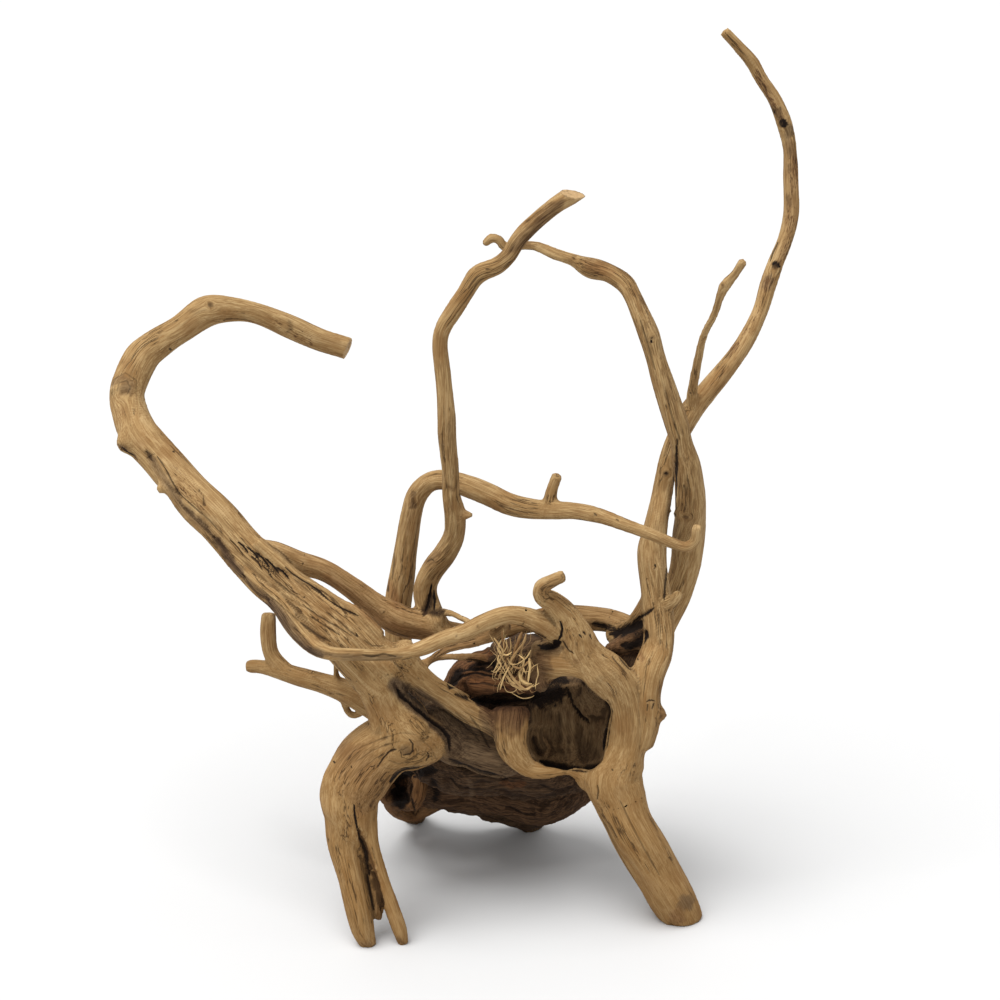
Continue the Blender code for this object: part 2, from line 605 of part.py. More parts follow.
def main():
    for obj in list(bpy.data.objects):
        bpy.data.objects.remove(obj)
    wood = fused_strands()
    cut_away(wood, main_hollow())
    for place_and_size in POCKETS:
        cut_away(wood, pocket(*place_and_size))
    cut_away(wood, ground())
    for cut in SAW_CUTS:
        cut_away(wood, saw_blade(*cut))
    shapes = loose_shapes(wood)
    shape_of = {index: number for number, shape in enumerate(shapes) for index in shape}
    tree = KDTree(len(wood.data.vertices))
    for vertex in wood.data.vertices:
        tree.insert(vertex.co, vertex.index)
    tree.balance()
    for name, strand, station, looks in PIECES:
        nearest = tree.find(at_station(strand, station)[0])[1]
        add_piece(name, wood, shapes[shape_of[nearest]], looks)
    bpy.data.objects.remove(wood)


main()
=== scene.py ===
"""Dresses the driftwood branch: bare, weathered root wood with its grain, cracks, knots and hollows."""

import math

import bmesh
import bpy
import numpy as np
from mathutils import Matrix, Vector, noise
from mathutils.bvhtree import BVHTree
from mathutils.kdtree import KDTree


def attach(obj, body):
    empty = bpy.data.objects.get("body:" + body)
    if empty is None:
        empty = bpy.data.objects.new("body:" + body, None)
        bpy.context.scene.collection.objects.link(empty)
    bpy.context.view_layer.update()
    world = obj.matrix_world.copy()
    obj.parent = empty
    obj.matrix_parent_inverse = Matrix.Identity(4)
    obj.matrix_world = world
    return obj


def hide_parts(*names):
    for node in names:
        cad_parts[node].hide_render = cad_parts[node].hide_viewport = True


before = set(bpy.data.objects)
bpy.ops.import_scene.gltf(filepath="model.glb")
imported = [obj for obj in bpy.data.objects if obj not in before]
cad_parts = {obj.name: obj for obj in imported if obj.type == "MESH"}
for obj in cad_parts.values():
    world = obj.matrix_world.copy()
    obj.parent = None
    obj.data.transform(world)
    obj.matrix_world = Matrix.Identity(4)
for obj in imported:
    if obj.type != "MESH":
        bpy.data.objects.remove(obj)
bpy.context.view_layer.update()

MM = 0.001
SEED = 7

# The length below which a row counts as having none
LEAST_LENGTH = 1e-12

# The viewpoint from which the wood is measured, as in the part's source
SIGHT_TILT = math.radians(20.0)
SIGHT_DISTANCE = 1160 * MM
PICTURE_MIDDLE = Vector((22.6, -3.6, 211.5)) * MM
PICTURE_MIDDLE_UP = 225 * MM
SIGHT = Vector((0, math.cos(SIGHT_TILT), -math.sin(SIGHT_TILT)))
SIGHT_UP = Vector((0, math.sin(SIGHT_TILT), math.cos(SIGHT_TILT)))
VIEWPOINT = PICTURE_MIDDLE - SIGHT * SIGHT_DISTANCE
PICTURE_WIDTH = 500 * MM

# How the strands are meshed and fused into one skin, and how its steps are evened out
SIDES = 28
RING_STEP = 2 * MM
LEAST_RADIUS = 1.2 * MM
FUSE_VOXEL = 1.1 * MM
EVENING_ROUNDS = 3
EVENING = 0.5

# A strand's end: how far its dome stands out and how wide it is, as shares of the radius
END_DOME = 0.3
END_WIDTH = 0.8

# Weathering of the strands: its height as a share of the radius, how fine it is round the strand,
# and how long along it
LUMPS = 0.1
LUMP_SIZE = 22 * MM
FURROWS = 0.1
FURROWS_ROUND = 1.6
FURROW_LENGTH = 60 * MM
FLUTES = 0.05
FLUTES_ROUND = 4.2
FLUTE_LENGTH = 45 * MM

# How wood grows over the creases between strands: what counts as a crease, how far it is filled
# between the strands that grew together and elsewhere, in how many rounds, and how many of them
# there are from one working out of the normals to the next
CREASE = (0.02 * MM, 0.1 * MM)
FILLED_TOGETHER = 1.0
FILLED_ELSEWHERE = 0.35
FILLET_ROUNDS = 60
FILLET_SETTLES = 6
GREW_TOGETHER = (
    "knob", "left_shoulder", "band", "face", "rim", "rim_end", "right_leg", "strap", "tall_limb",
    "torn_heart", "heart_high", "chunk", "pocket", "curl_stub",
)

# Rounds of smoothing over the skin: of how far creases are filled, of the strands' tones, of the
# grooves' paint, of the solid that a point belongs to, and of the skin that a pale edge, worn and
# with a painted highlight, stands over
SOFT_FILLING = 4
SOFT_TONES = 3
SOFT_GROOVES = 2
SOFT_OWNERS = 4
SOFT_EDGES = 2

# The main hollow: where its inside begins and ends, how far past the outline it reaches, and the
# grain of its wall, which runs downwards
HOLLOW_FRONT, HOLLOW_BACK = -44, 10
HOLLOW_MARGIN = 0.6
HOLLOW_GRAIN = {
    "wall_left": [(20, 130, 4, 9), (21, 112, 2, 9), (24, 96, 2, 9), (27, 84, 0, 9)],
    "wall_middle": [(32, 140, 0, 9), (33, 116, 2, 9), (37, 100, 2, 9), (39, 86, -2, 9)],
    "wall_right": [(45, 136, -8, 9), (47, 114, -4, 9), (48, 100, -4, 9), (48, 86, -8, 9)],
}

# A pocket's facets and how uneven it is
POCKET_DETAIL = 4
POCKET_LUMPS = 0.25
POCKET_LUMPS_ROUND = 1.7

# The ground, which is cut from the wood so that the feet are flat
GROUND_DEPTH = 60 * MM
GROUND_WIDTH = 800 * MM

# Grain coordinates: how many sets of them there are, how softly one strand's grain gives way to the
# next's, how far apart its samples lie, how many of them are tried for a point, and how far apart
# two strands' grain begins, in metres
GRAIN_SETS = 3
GRAIN_MERGE = 1.2 * MM
GRAIN_STEP = 2 * MM
GRAIN_NEAREST = 12
GRAIN_APART = 0.137

# How far the grain turns round a strand, in radians a metre
TWISTS = {"upright": 14, "arch_limb": 9, "tall_limb": -8, "back_arch": 5, "hook_limb": 2}

# Relief along the grain, broad and fine: how often its seeds are widened, its reach in steps and its
# height in millimetres. STREAK_MOST cuts off its highest and lowest places.
STREAK_STEP = 1.4 * MM
STREAK_MOST = 2
GRAIN_RELIEF = [(3, 16, 0.1), (0, 8, 0.04)]

# Rotten wood: how much rougher its grain is, the age over which it breaks up into ledges, their size
# and height, and the height and fineness of the small ones on them
ROTTEN_RELIEF = 4
LEDGE_AGE = (0.3, 0.8)
LEDGE_SIZE = 9 * MM
LEDGE_HEIGHT = 1.3 * MM
SMALL_LEDGES = 0.6
SMALL_LEDGES_FINER = 2.3

# Knots: how far off the grain turns aside and where the eye and its stain fade, in radii, how dark
# the eye and how old the stain is at most, and how long and how ragged the eye is
KNOT_REACH = 3.2
KNOT_EYE = (0.2, 0.6)
KNOT_STAIN = (0.4, 1.1)
KNOT_DARKEST = 0.9
KNOT_STAIN_AGE = 0.45
KNOT_LENGTH = 0.4
KNOT_RAGGED = 0.35
KNOT_RAGGED_ROUND = 2.3

# How far from a place on the picture plane a point that is seen there may lie, in millimetres
SEEN_WITHIN = 2.5

# How far a point has to face the viewer to be marked, and how far for a wide mark, which runs over
# edges; and half the width of a wide one, in millimetres
FACING = 0.1
FACING_WIDE = -0.6
WIDE_MARK = 6

# Marks: how ragged they are and the size that this comes in, how fast and from what share of its
# width a mark widens from its ends, and the powers by which its groove and its paint fade sideways
MARK_RAGGED = 0.35
MARK_RAGGED_SIZE = 3 * MM
MARK_TAPER = (6, 0.4)
MARK_GROOVE_FADES = 1.5
MARK_PAINT_FADES = 0.7

# Cracks: how many sets of them the skin keeps, how far off a crack is still known, in millimetres,
# the least half width and the depth of its groove in the mesh, how it widens from its ends, how much
# it wanders and where its sides fade, in millimetres, and what is kept where there is none
CRACK_SETS = 3
CRACK_REACH = 2.2
CRACK_GROOVE = 1.1
CRACK_DEPTH = 0.5
CRACK_TAPER = (5, 0.2)
CRACK_WANDER = 1.1
CRACK_FADES = (-0.05, 0.3)
NO_CRACK = (0.0, -1.0, 0.0)

# The share of a line's length that counts as its end
LINE_END = 0.001

# How far back marks may lie: on the wood in front, on the wood behind it, in the main hollow, or
# anywhere
FRONT, REAR, INSIDE, ANYWHERE = (-200, -25), (-30, 200), (-43, 200), (-200, 200)

# Sawn ends: how the cut through a strand's last station tilts from square, how far round the station
# it cuts and how far out it shows, in radii, and how near it a point of sawn wood lies
SAWN_ENDS = {"hook_limb": (0, -0.3, 0), "upright": (-0.5, -0.35, 0.75)}
SAWN_REACH = 2.2
SAWN_WIDTH = 1.7
SAWN_NEAR = 0.1 * MM

# What is painted on the floor of a groove, grey wood darkened with painted shade, and where that
# fades, in the groove's radii
GROOVE_PAINT = {"grey": 0.8, "age": 0.5, "dark": 0.3}
GROOVE_FADES = (1.1, 1.35)

# The convex edges that are painted pale, as wear and as a painted highlight, in millimetres over their
# surroundings
LIGHTENED_EDGE_HEIGHTS = (0.2, 0.5)

# Crevices, fine and broad, which the finish darkens as painted shade: the rounds of smoothing, and
# how far below the smoothed skin the deepest ones lie, in millimetres
CREVICES = [(8, 0.2), (40, 1.1)]

# The coats of paint that the mesh keeps, three to an attribute
PAINT = {"tone": ("age", "rust", "grey"), "wear_and_shade": ("dark", "speck", "sawn")}

# Tones of strands that aren't pale: how rotten, rusty and grey they are. The pocket and the torn
# heart are nearly black: rotten wood, with painted shade of the hollows by them
TONES = {
    "face": (0.5, 0, 0.8), "heart_high": (0.85, 0, 0), "heart_middle": (0.85, 0, 0),
    "heart_low": (0.85, 0.1, 0.1), "back_knee": (0.6, 0, 0.3), "keel_right": (0.8, 0, 0.2),
    "keel_left": (0.75, 0, 0.3), "rear_web": (0.7, 0, 0.2), "scoop_edge": (0.45, 0.4, 0),
    "left_lobe": (0.6, 0.3, 0), "lobe_core": (0.5, 0.4, 0), "chunk": (0.65, 0.3, 0),
    "chunk_lip": (0.7, 0.4, 0), "pocket": (0.95, 0, 0), "torn_heart": (0.95, 0, 0),
    "wall_left": (0.32, 0, 0.6), "wall_middle": (0.2, 0, 0.7), "wall_right": (0.17, 0, 0.75),
    "right_foot": (0.6, 0, 0.2), "left_foot": (0.5, 0, 0.2), "torn_spur": (0.5, 0.2, 0.2),
    "rim_end": (0.5, 0, 0.3), "long_root": (0.12, 0.2, 0), "splint": (0.35, 0.2, 0),
    "rootlet_long": (0.3, 0.2, 0), "rootlet_low": (0.3, 0.2, 0),
}

# Noise in the finish: how often it changes in a millimetre, across the grain twice and along it or in
# width, depth and height, its detail, and its roughness and distortion where they aren't the usual
FINE_GRAIN = ((1.8, 1.8, 0.09), 3.0, 0.6)
GRAIN_LINES = ((0.7, 0.7, 0.035), 2.0, 0.5, 0.15)
BROAD_GRAIN = ((0.2, 0.2, 0.025), 2.0)
PORES = ((2.4, 2.4, 0.4), 1.0)
BLOTCHES = ((0.06, 0.06, 0.06), 3.0)
FIBRE_SHADES = ((0.35, 0.35, 0.35), 2.0)

# The depth of the relief that the finish draws
FINISH_RELIEF = 0.5 * MM

# Colours as a screen shows them, red, green and blue: the dark one and the light one of each wood
PALE_WOOD = ((130, 100, 63), (171, 142, 98))
ROTTEN_WOOD = ((38, 27, 19), (90, 68, 48))
GREY_WOOD = ((66, 52, 40), (112, 91, 69))
RUSTY_WOOD = ((84, 48, 25), (140, 88, 48))
SAWN_WOOD = ((150, 118, 80), (206, 176, 134))
BARK = ((66, 45, 30), (118, 86, 54))
STRAW = ((112, 78, 42), (200, 168, 114))

# And the colours that lie over them
BROWN_BAND = (136, 103, 62)
RIDGE_BLEACH_AND_HIGHLIGHT = (186, 160, 120)
DARKER_TOWARDS_BOTTOM = (128, 90, 44)
EDGE_WEAR_AND_HIGHLIGHT = (200, 172, 128)
BROWN_BLOTCH = (118, 82, 44)
OPEN_FURROW = (82, 56, 32)
OPEN_WOOD = (90, 64, 37)
DARK_PIT = (48, 30, 18)
CREVICE_SHADE = (46, 30, 18)
DARK_STAIN_AND_SHADE = (48, 32, 21)
BLACK = (24, 16, 11)

# Loose fibres: how finely they are meshed, how flat and uneven they are, and how wide at their start
# and tip, and wider at each step from there, as shares of their width
FIBRE_SIDES = 7
FIBRE_STEP = 0.8 * MM
FIBRE_FLATNESS = 0.6
FIBRE_UNEVEN = 0.3
FIBRE_UNEVEN_SIZE = 3 * MM
FIBRE_START = 0.35
FIBRE_TIP = 0.25
FIBRE_WIDENS = 0.2

# Thinner fibres between the ones in FIBRE_LINES: how many there are, how far from those they lie and
# what share of that sideways, up and back, how much further back, how far they bend, all in
# millimetres, and how thick they are for those
THIN_FIBRES = 55
THIN_SPREAD = 2.4
THIN_SHARES = (1, 1, 0.7)
THIN_BACK = 2
THIN_BEND = 0.6
THIN_WIDTH = (0.2, 0.45)

# The stage, and its lamps: the name, the way of the light, the strength and the spread in degrees
FLOOR_HALF = 12
FLOOR_CELLS = 8
FLOOR_TONE = 0.55
ROOM_LIGHT = 0.72
LAMPS = [("key", (0.3, 0.22, -1), 3.9, 40)]
SENSOR = 36
CAMERA_CLIP = (0.01, 100)

# Knots: (across, up, radius, height, depth of the eye) in millimetres
KNOTS = [
    (-188, 281, 4.6, 0.6, 0.35), (-144, 323.5, 2.4, 0.2, 0.4), (-48, 98.5, 5, 0.3, 0),
    (81.5, 117, 2.6, 0.8, 0.5), (-43.5, 223.5, 1.6, 0.4, 0.3), (47, 218, 1.2, 0.1, 0.4),
    (142.5, 413, 2.6, 0.5, 0.4), (137.5, 342, 2.2, 0.4, 0.4), (82.5, 237.5, 2.6, 0.6, 0.7),
    (93, 215, 2.4, 0.1, 0.2), (76, 304.5, 1.8, 0.3, 0.8), (110.5, 331.5, 1.6, 0.4, 0.2),
    (102.5, 305, 1.2, 0.2, 0.4), (94, 277.5, 1.2, 0.2, 0.5), (-57.5, 168, 1.2, 0.1, 0.6),
    (-32, 355, 1.8, 0.3, 0.4), (78, 192, 1.2, 0.2, 0.5), (-10, 162.5, 1.0, 0.1, 0.4),
    (-21.5, 156.5, 1.0, 0.1, 0.4), (-94, 140.5, 1.2, 0.2, 0.5),
]

# Marks on the side that faces the viewer: half the width, the depth, what they paint, how far back
# they may lie, and the line on the picture plane, (across, up); all lengths in millimetres
MARKS = [
    # The groove between the knob and the band, grey and darkened with painted shade, and painted black shade
    # along its lower edge
    (4.4, 0.0, {"dark": 0.6, "grey": 0.7, "age": 0.5}, ANYWHERE,
     [(-49, 131.5), (-45, 128.5), (-40, 124.5), (-33, 119)]),
    (5.0, 0.6, {"dark": 0.35, "grey": 0.9}, ANYWHERE,
     [(-41, 124.5), (-32.5, 119.5), (-24, 113), (-16, 106)]),
    (1.5, 1.2, {"dark": 0.9}, ANYWHERE,
     [(-51.5, 130.5), (-48.5, 126.5), (-44, 122.5), (-39, 118.5), (-33.5, 114.5), (-28.5, 110.5),
      (-25.5, 106), (-25, 100)]),
    # Where the grain lies open, in fine cracks
    (14, 0.0, {"split": 0.55}, FRONT, [(-119, 190), (-100, 175), (-80, 162), (-62, 151)]),
    (7, 0.0, {"split": 0.5}, ANYWHERE, [(-150, 220), (-134, 205), (-119, 191)]),
    (14, 0.0, {"split": 0.8}, FRONT, [(-25, 113), (-10, 103), (0, 95)]),
    (8, 0.0, {"split": 0.25}, ANYWHERE, [(-49, 225), (-50, 200), (-51, 175)]),
    (8, 0.0, {"split": 0.5}, ANYWHERE, [(-24, 265), (-25, 235), (-27, 210), (-35, 187.5)]),
    (8, 0.0, {"split": 0.9}, ANYWHERE, [(0, 340), (15, 355), (30, 372.5)]),
    (8, 0.0, {"split": 0.5}, ANYWHERE, [(30, 350), (55, 340), (70, 325), (82.5, 290), (95, 255)]),
    (9, 0.0, {"split": 0.2}, FRONT, [(-85, 60), (-75, 35), (-69, 15)]),
    (10, 0.0, {"split": 0.2}, FRONT, [(37.5, 155), (55, 135), (70, 105)]),
    (9, 0.0, {"split": 0.5}, ANYWHERE, [(94, 265), (91, 225), (83, 185), (79, 155)]),
    # The long root's underside, reddish and darkened with painted shade, and the back arch's at its base
    (4.5, 0.0, {"rust": 0.45, "dark": 0.15}, ANYWHERE,
     [(-89, 188), (-77.5, 179), (-64, 168), (-50, 160), (-34, 158)]),
    (3.0, 0.0, {"rust": 0.4, "dark": 0.25}, ANYWHERE, [(-56, 184), (-53, 177), (-51, 170)]),
    # The shoulder's browner side, painted darker as shade under the knob
    (17, 0.0, {"age": 0.32, "rust": 0.2}, FRONT, [(-77.5, 100), (-65, 84), (-69, 72)]),
    # Where the band's end frays into the strap, and the strap's top painted dark into the shade of the slit
    # above it
    (9.0, 0.4, {"dark": 0.5, "age": 1.0}, ANYWHERE, [(-9, 124), (0, 125.5), (7.5, 125.5), (18, 124.5)]),
    (14.0, 0.0, {"age": 0.6, "rust": 0.25}, FRONT, [(-6, 120), (4, 120), (13, 119)]),
    (4.0, 0.5, {"age": 0.4, "grey": 0.4}, FRONT, [(-9, 119), (-6, 112), (-3, 104)]),
    # The crossing root's end against the rim, with painted black shadow under it
    (2.6, 2.0, {"dark": 0.95}, FRONT, [(19, 153), (24, 152), (30, 153.5)]),
    (4.5, 0.0, {"dark": 0.3, "age": 0.5}, FRONT, [(13, 152), (22, 149.5), (31, 151)]),
    (1.8, 0.3, {"dark": 0.8}, FRONT, [(8.5, 162), (15, 158.5), (22.5, 156)]),
    (2.4, 0.3, {"dark": 0.5, "age": 0.4}, FRONT, [(16, 149), (16.5, 141), (15.5, 133)]),
    (7.5, 0.0, {"age": 0.55, "rust": 0.15}, FRONT, [(19, 148), (20, 141), (19, 132)]),
    # The rim's stain
    (1.6, 0, {"dark": 0.35, "rust": 0.3}, FRONT, [(36.5, 144.5), (40, 144.5)]),
    # Inside the hollow: the fold, and painted shade in the blackness above and in the slit below
    (7.5, 0.5, {"dark": 0.95}, INSIDE, [(17, 125), (21.5, 126.5), (26.5, 128), (31.5, 129)]),
    (3.6, 0.0, {"dark": 0.9}, INSIDE, [(20, 131), (24, 134), (29, 135.5), (34, 134)]),
    (2.0, 0.0, {"dark": 0.6}, INSIDE, [(34, 135), (40, 134.5), (46, 132), (51, 128)]),
    (7.0, -2.2, {"grey": 0.7}, REAR, [(43, 130), (46, 125), (49, 119)]),
    (1.3, 1.8, {"dark": 0.85}, REAR, [(33.5, 131), (35, 126), (37, 121.5), (40, 117), (44.5, 113.5)]),
    (2.4, 0.8, {"dark": 0.6}, REAR, [(17, 107), (18.5, 102), (21, 97.5)]),
    (1.0, -0.8, {"rust": 0.15, "grey": 0.5}, REAR, [(22, 106), (24.5, 101), (23, 96.5)]),
    (2.0, 1.5, {"dark": 0.95}, ANYWHERE, [(20.5, 95), (26.5, 93), (35, 91.5), (42.5, 90.5), (49, 93)]),
    (1.6, 1.0, {"dark": 0.8}, ANYWHERE, [(53, 125), (55, 119), (53.5, 110), (52, 100)]),
    # The decayed chunk: layers, reddish lip, and the slit under it painted black as shade
    (1.4, 1.8, {"dark": 1.0}, ANYWHERE, [(-23, 139), (-16, 140.5), (-9, 140.5), (-2, 139), (4, 137)]),
    (3.0, 1.0, {"dark": 0.9}, ANYWHERE, [(-25, 131), (-22.5, 136), (-19.5, 141)]),
    (1.6, 0, {"rust": 0.6, "grey": 0.2}, ANYWHERE, [(-15, 134), (-7, 132), (1, 129.5), (8, 128)]),
    (2.4, 1.0, {"dark": 0.8}, ANYWHERE, [(-22, 128), (-15, 126), (-6, 124.5), (3, 124.5), (14, 125.5)]),
    (1.6, 0.4, {"rust": 0.5}, ANYWHERE, [(-16, 145), (-10, 147.5), (-3, 148.5)]),
    (3.4, 0.0, {"rust": 0.4}, ANYWHERE, [(-18, 141), (-13, 144.5), (-6, 146.5)]),
    (1.2, 0.8, {"dark": 0.9}, ANYWHERE, [(-17, 141), (-12, 143), (-5, 142.5), (1, 141)]),
    (2.0, 0.6, {"rust": 0.6}, ANYWHERE, [(-14, 135), (-7, 134.5), (0, 132), (6, 130.5)]),
    # The dark body: ledges, edges and the shadow under the face
    (1.8, 1.4, {"dark": 0.8}, ANYWHERE, [(-26, 95.5), (-19, 92), (-12, 90), (-4, 87.5), (4, 85.5)]),
    (2.0, 0.8, {"dark": 0.6}, REAR, [(0, 80), (10, 77), (22.5, 76.5), (34, 80)]),
    (2.4, 0.6, {"dark": 0.5}, REAR, [(37.5, 85), (38.5, 79), (33, 72)]),
    (2.0, 0, {"dark": 0.5, "rust": 0.5}, REAR, [(0, 84), (7.5, 83), (12.5, 84)]),
    (1.6, 0, {"grey": 0.6}, REAR, [(-15, 75), (-14, 80), (-16, 86)]),
    # The left lobe: its cavity painted black as shade, its orange core and edge, and the painted shadow
    # under the knob's edge
    (6.0, 1.2, {"dark": 1.0}, REAR, [(-51, 82), (-50, 76), (-49, 72)]),
    (3.4, 1.0, {"dark": 0.95}, ANYWHERE, [(-54, 84), (-48, 88), (-40, 89), (-32, 90)]),
    (3.0, 1.0, {"dark": 0.8}, REAR, [(-34, 85), (-31.5, 79), (-33, 74)]),
    (2.6, -0.6, {"rust": 0.25}, REAR, [(-42, 81), (-41, 76), (-40, 71)]),
    (1.8, 0, {"rust": 0.3, "grey": 0.2}, REAR, [(-57, 72), (-52, 67.5), (-44, 65.5)]),
    (1.2, -0.4, {"grey": 0.6}, REAR, [(-47.5, 83.5), (-48, 78.5), (-47, 73.5)]),
    # The dark torn heart where the limbs part, charred and with painted shade, and the rusty places by it
    (3.6, 1.0, {"dark": 1.0}, ANYWHERE, [(55, 158), (60, 159), (66, 161), (71, 164)]),
    (3.0, 1.0, {"dark": 1.0}, ANYWHERE, [(61, 152.5), (66, 152), (71, 155), (73, 159)]),
    (1.2, 0.8, {"dark": 0.9}, ANYWHERE, [(66, 164), (72, 167.5), (77, 171)]),
    (2.6, 0.6, {"dark": 0.8}, ANYWHERE, [(46, 163), (52, 162), (58, 160)]),
    (5.0, 0.0, {"dark": 0.7}, ANYWHERE, [(58, 158), (65, 160), (70, 158), (67, 151)]),
    (2.2, 0.6, {"rust": 0.4, "dark": 0.3}, FRONT, [(67, 149), (70, 147.5), (71, 144.5)]),
    (2.4, 0.4, {"rust": 0.4, "dark": 0.3}, FRONT, [(80.5, 120.5), (82, 117.5), (81.5, 114.5)]),
    (1.0, -0.6, {"rust": 0.3, "grey": 0.4}, ANYWHERE, [(53, 151), (59, 154), (66, 158), (70, 160)]),
    # Painted shade on the ribbon's underside along the hook limb, and in the channel over it
    (3.3, 1.4, {"age": 0.46, "grey": 0.3}, ANYWHERE,
     [(-177, 249), (-171, 239.5), (-165, 230.5), (-159.5, 222), (-152, 214.5), (-143.5, 206.5)]),
    (2.9, 1.2, {"age": 0.7, "grey": 0.2}, ANYWHERE,
     [(-143.5, 206.5), (-139, 201), (-134, 193.5), (-128.5, 186)]),
    (2.4, 1.0, {"age": 0.5, "grey": 0.25}, ANYWHERE, [(-129.5, 187), (-123, 181), (-116, 175)]),
    (3.0, 0.4, {"age": 0.6, "grey": 0.5}, ANYWHERE,
     [(-118, 178), (-111, 167.5), (-105, 157.5), (-98.5, 150.5), (-89, 146.5)]),
    (2.2, 0.8, {"grey": 0.7, "dark": 0.2}, FRONT,
     [(-114, 175), (-106, 165), (-100, 156), (-94, 150), (-85, 147)]),
    (1.8, 0.4, {"grey": 0.6, "dark": 0.2}, FRONT,
     [(-87, 147.5), (-75, 146.5), (-60, 146), (-49, 146.5)]),
    # The hook limb's flaky and pitted places
    (6.5, 0.3, {"speck": 0.52}, ANYWHERE, [(-164, 241), (-157, 231), (-149, 219)]),
    (1.4, 0.8, {"dark": 0.2, "speck": 0.4}, ANYWHERE, [(-151, 231), (-148.5, 227), (-148, 221.5)]),
    (4.5, 0.0, {"speck": 0.6}, ANYWHERE, [(-112, 314), (-106, 310), (-100, 307), (-94, 303.5)]),
    (1.6, 0.3, {"dark": 0.45, "age": 0.3}, ANYWHERE, [(-105.5, 315), (-104, 311), (-106.5, 309)]),
    (1.8, 0.0, {"age": 0.3}, ANYWHERE, [(-157, 320.5), (-152, 319), (-147, 320.5)]),
    (2.4, 0.0, {"age": 0.28, "grey": 0.3}, ANYWHERE,
     [(-194, 283), (-189, 286), (-184, 283), (-185, 277)]),
    (3.0, 0.8, {"speck": 0.9, "dark": 0.3}, ANYWHERE, [(-191, 252), (-187, 247.5), (-182, 245)]),
    (2.0, 0.0, {"rust": 0.25, "dark": 0.15}, ANYWHERE, [(-189.5, 271), (-188, 268)]),
    # The left leg's split, and its worn feet
    (2.4, 2.0, {"age": 0.4, "rust": 0.25}, FRONT,
     [(-70.5, 60), (-68, 52), (-65, 44), (-62, 33), (-59, 19)]),
    (1.6, 0.0, {"rust": 0.4}, FRONT, [(-61, 59), (-57, 47), (-53, 33), (-50, 20)]),
    (5.0, 0.4, {"age": 0.4, "rust": 0.1}, FRONT, [(-74, 2), (-69, 0), (-63, 1)]),
    (5.0, 0.4, {"age": 0.4, "rust": 0.1}, FRONT, [(-58, 3), (-53, 2), (-48, 3)]),
    # The right leg's worn foot
    (5.5, 0.0, {"grey": 0.7, "dark": 0.15}, FRONT, [(91.5, 26), (95, 21.5)]),
    (5.5, 0.0, {"rust": 0.25, "grey": 0.3}, FRONT, [(86, 18), (91, 15)]),
    # The back arch's knot and stains
    (1.2, 0.4, {"dark": 0.5, "rust": 0.3}, ANYWHERE, [(-25.5, 232), (-23.5, 229.5)]),
    (2.2, 0.0, {"dark": 0.25, "rust": 0.5}, ANYWHERE, [(-53, 180), (-52, 174)]),
    (3.6, 0.0, {"age": 0.2, "rust": 0.12}, ANYWHERE, [(-48, 234), (-43.5, 225), (-45.5, 215)]),
    # The front upright's torn base and the bark left on it
    (3.2, 0.8, {"dark": 0.6, "age": 0.6}, ANYWHERE, [(-38, 168), (-35.5, 172), (-34, 178)]),
    (3.0, 0.6, {"dark": 0.6, "age": 0.6}, ANYWHERE, [(-35, 169), (-31, 168.5), (-28, 170)]),
    (3.0, 0.0, {"age": 0.35, "rust": 0.2}, ANYWHERE, [(-38, 194), (-34, 196), (-30, 199)]),
    (2.4, 0.0, {"age": 0.3}, ANYWHERE, [(-28, 199), (-25.5, 202)]),
    # Painted shade in the gap beside the arch limb, and the stains on it and on the front upright's top
    (1.2, 0.6, {"dark": 0.9}, ANYWHERE, [(88.5, 255), (88, 240), (87, 225), (87.5, 217)]),
    (4.0, 0.0, {"age": 0.22, "speck": 0.5}, ANYWHERE, [(70, 327), (75, 312.5), (81, 295), (88, 267.5)]),
    (4.5, 0.0, {"age": 0.45, "rust": 0.1}, ANYWHERE, [(6, 350), (15, 358), (24, 367.5), (31.5, 375)]),
    (4.0, 0.0, {"age": 0.2, "rust": 0.25}, ANYWHERE, [(42, 344), (50, 341), (57, 338.5)]),
    # The tall limb's knots and stains
    (2.2, 0.0, {"dark": 0.7}, ANYWHERE, [(135.5, 421.5), (137, 418.5)]),
    (2.9, 0.4, {"dark": 0.95}, ANYWHERE, [(141, 415), (142.5, 411.5)]),
    (2.4, 0.0, {"age": 0.45, "grey": 0.3}, ANYWHERE, [(143, 409), (145, 402), (145, 397)]),
    (2.4, 0.3, {"dark": 0.95}, ANYWHERE, [(136.5, 343), (140, 342)]),
    (3.6, 0.0, {"age": 0.35, "grey": 0.5}, ANYWHERE, [(135, 337), (133, 330)]),
    (1.4, 0.3, {"dark": 0.4, "age": 0.4}, ANYWHERE, [(144.5, 393), (145, 389)]),
    (2.0, 0.2, {"dark": 0.4, "age": 0.4}, ANYWHERE, [(144, 377), (145, 372)]),
    (1.6, 0.2, {"dark": 0.3, "age": 0.3}, ANYWHERE, [(113, 296), (116, 300)]),
    (3.5, 0.0, {"speck": 0.66, "rust": 0.15, "age": 0.2}, ANYWHERE,
     [(128.5, 440), (134, 426), (142, 414)]),
    (4.0, 0.0, {"speck": 0.66, "rust": 0.15, "age": 0.25}, ANYWHERE,
     [(145, 405), (146, 380), (144, 355), (140, 344)]),
    (3.5, 0.0, {"speck": 0.58, "rust": 0.1}, ANYWHERE, [(134, 335), (126, 315), (115, 297.5)]),
]

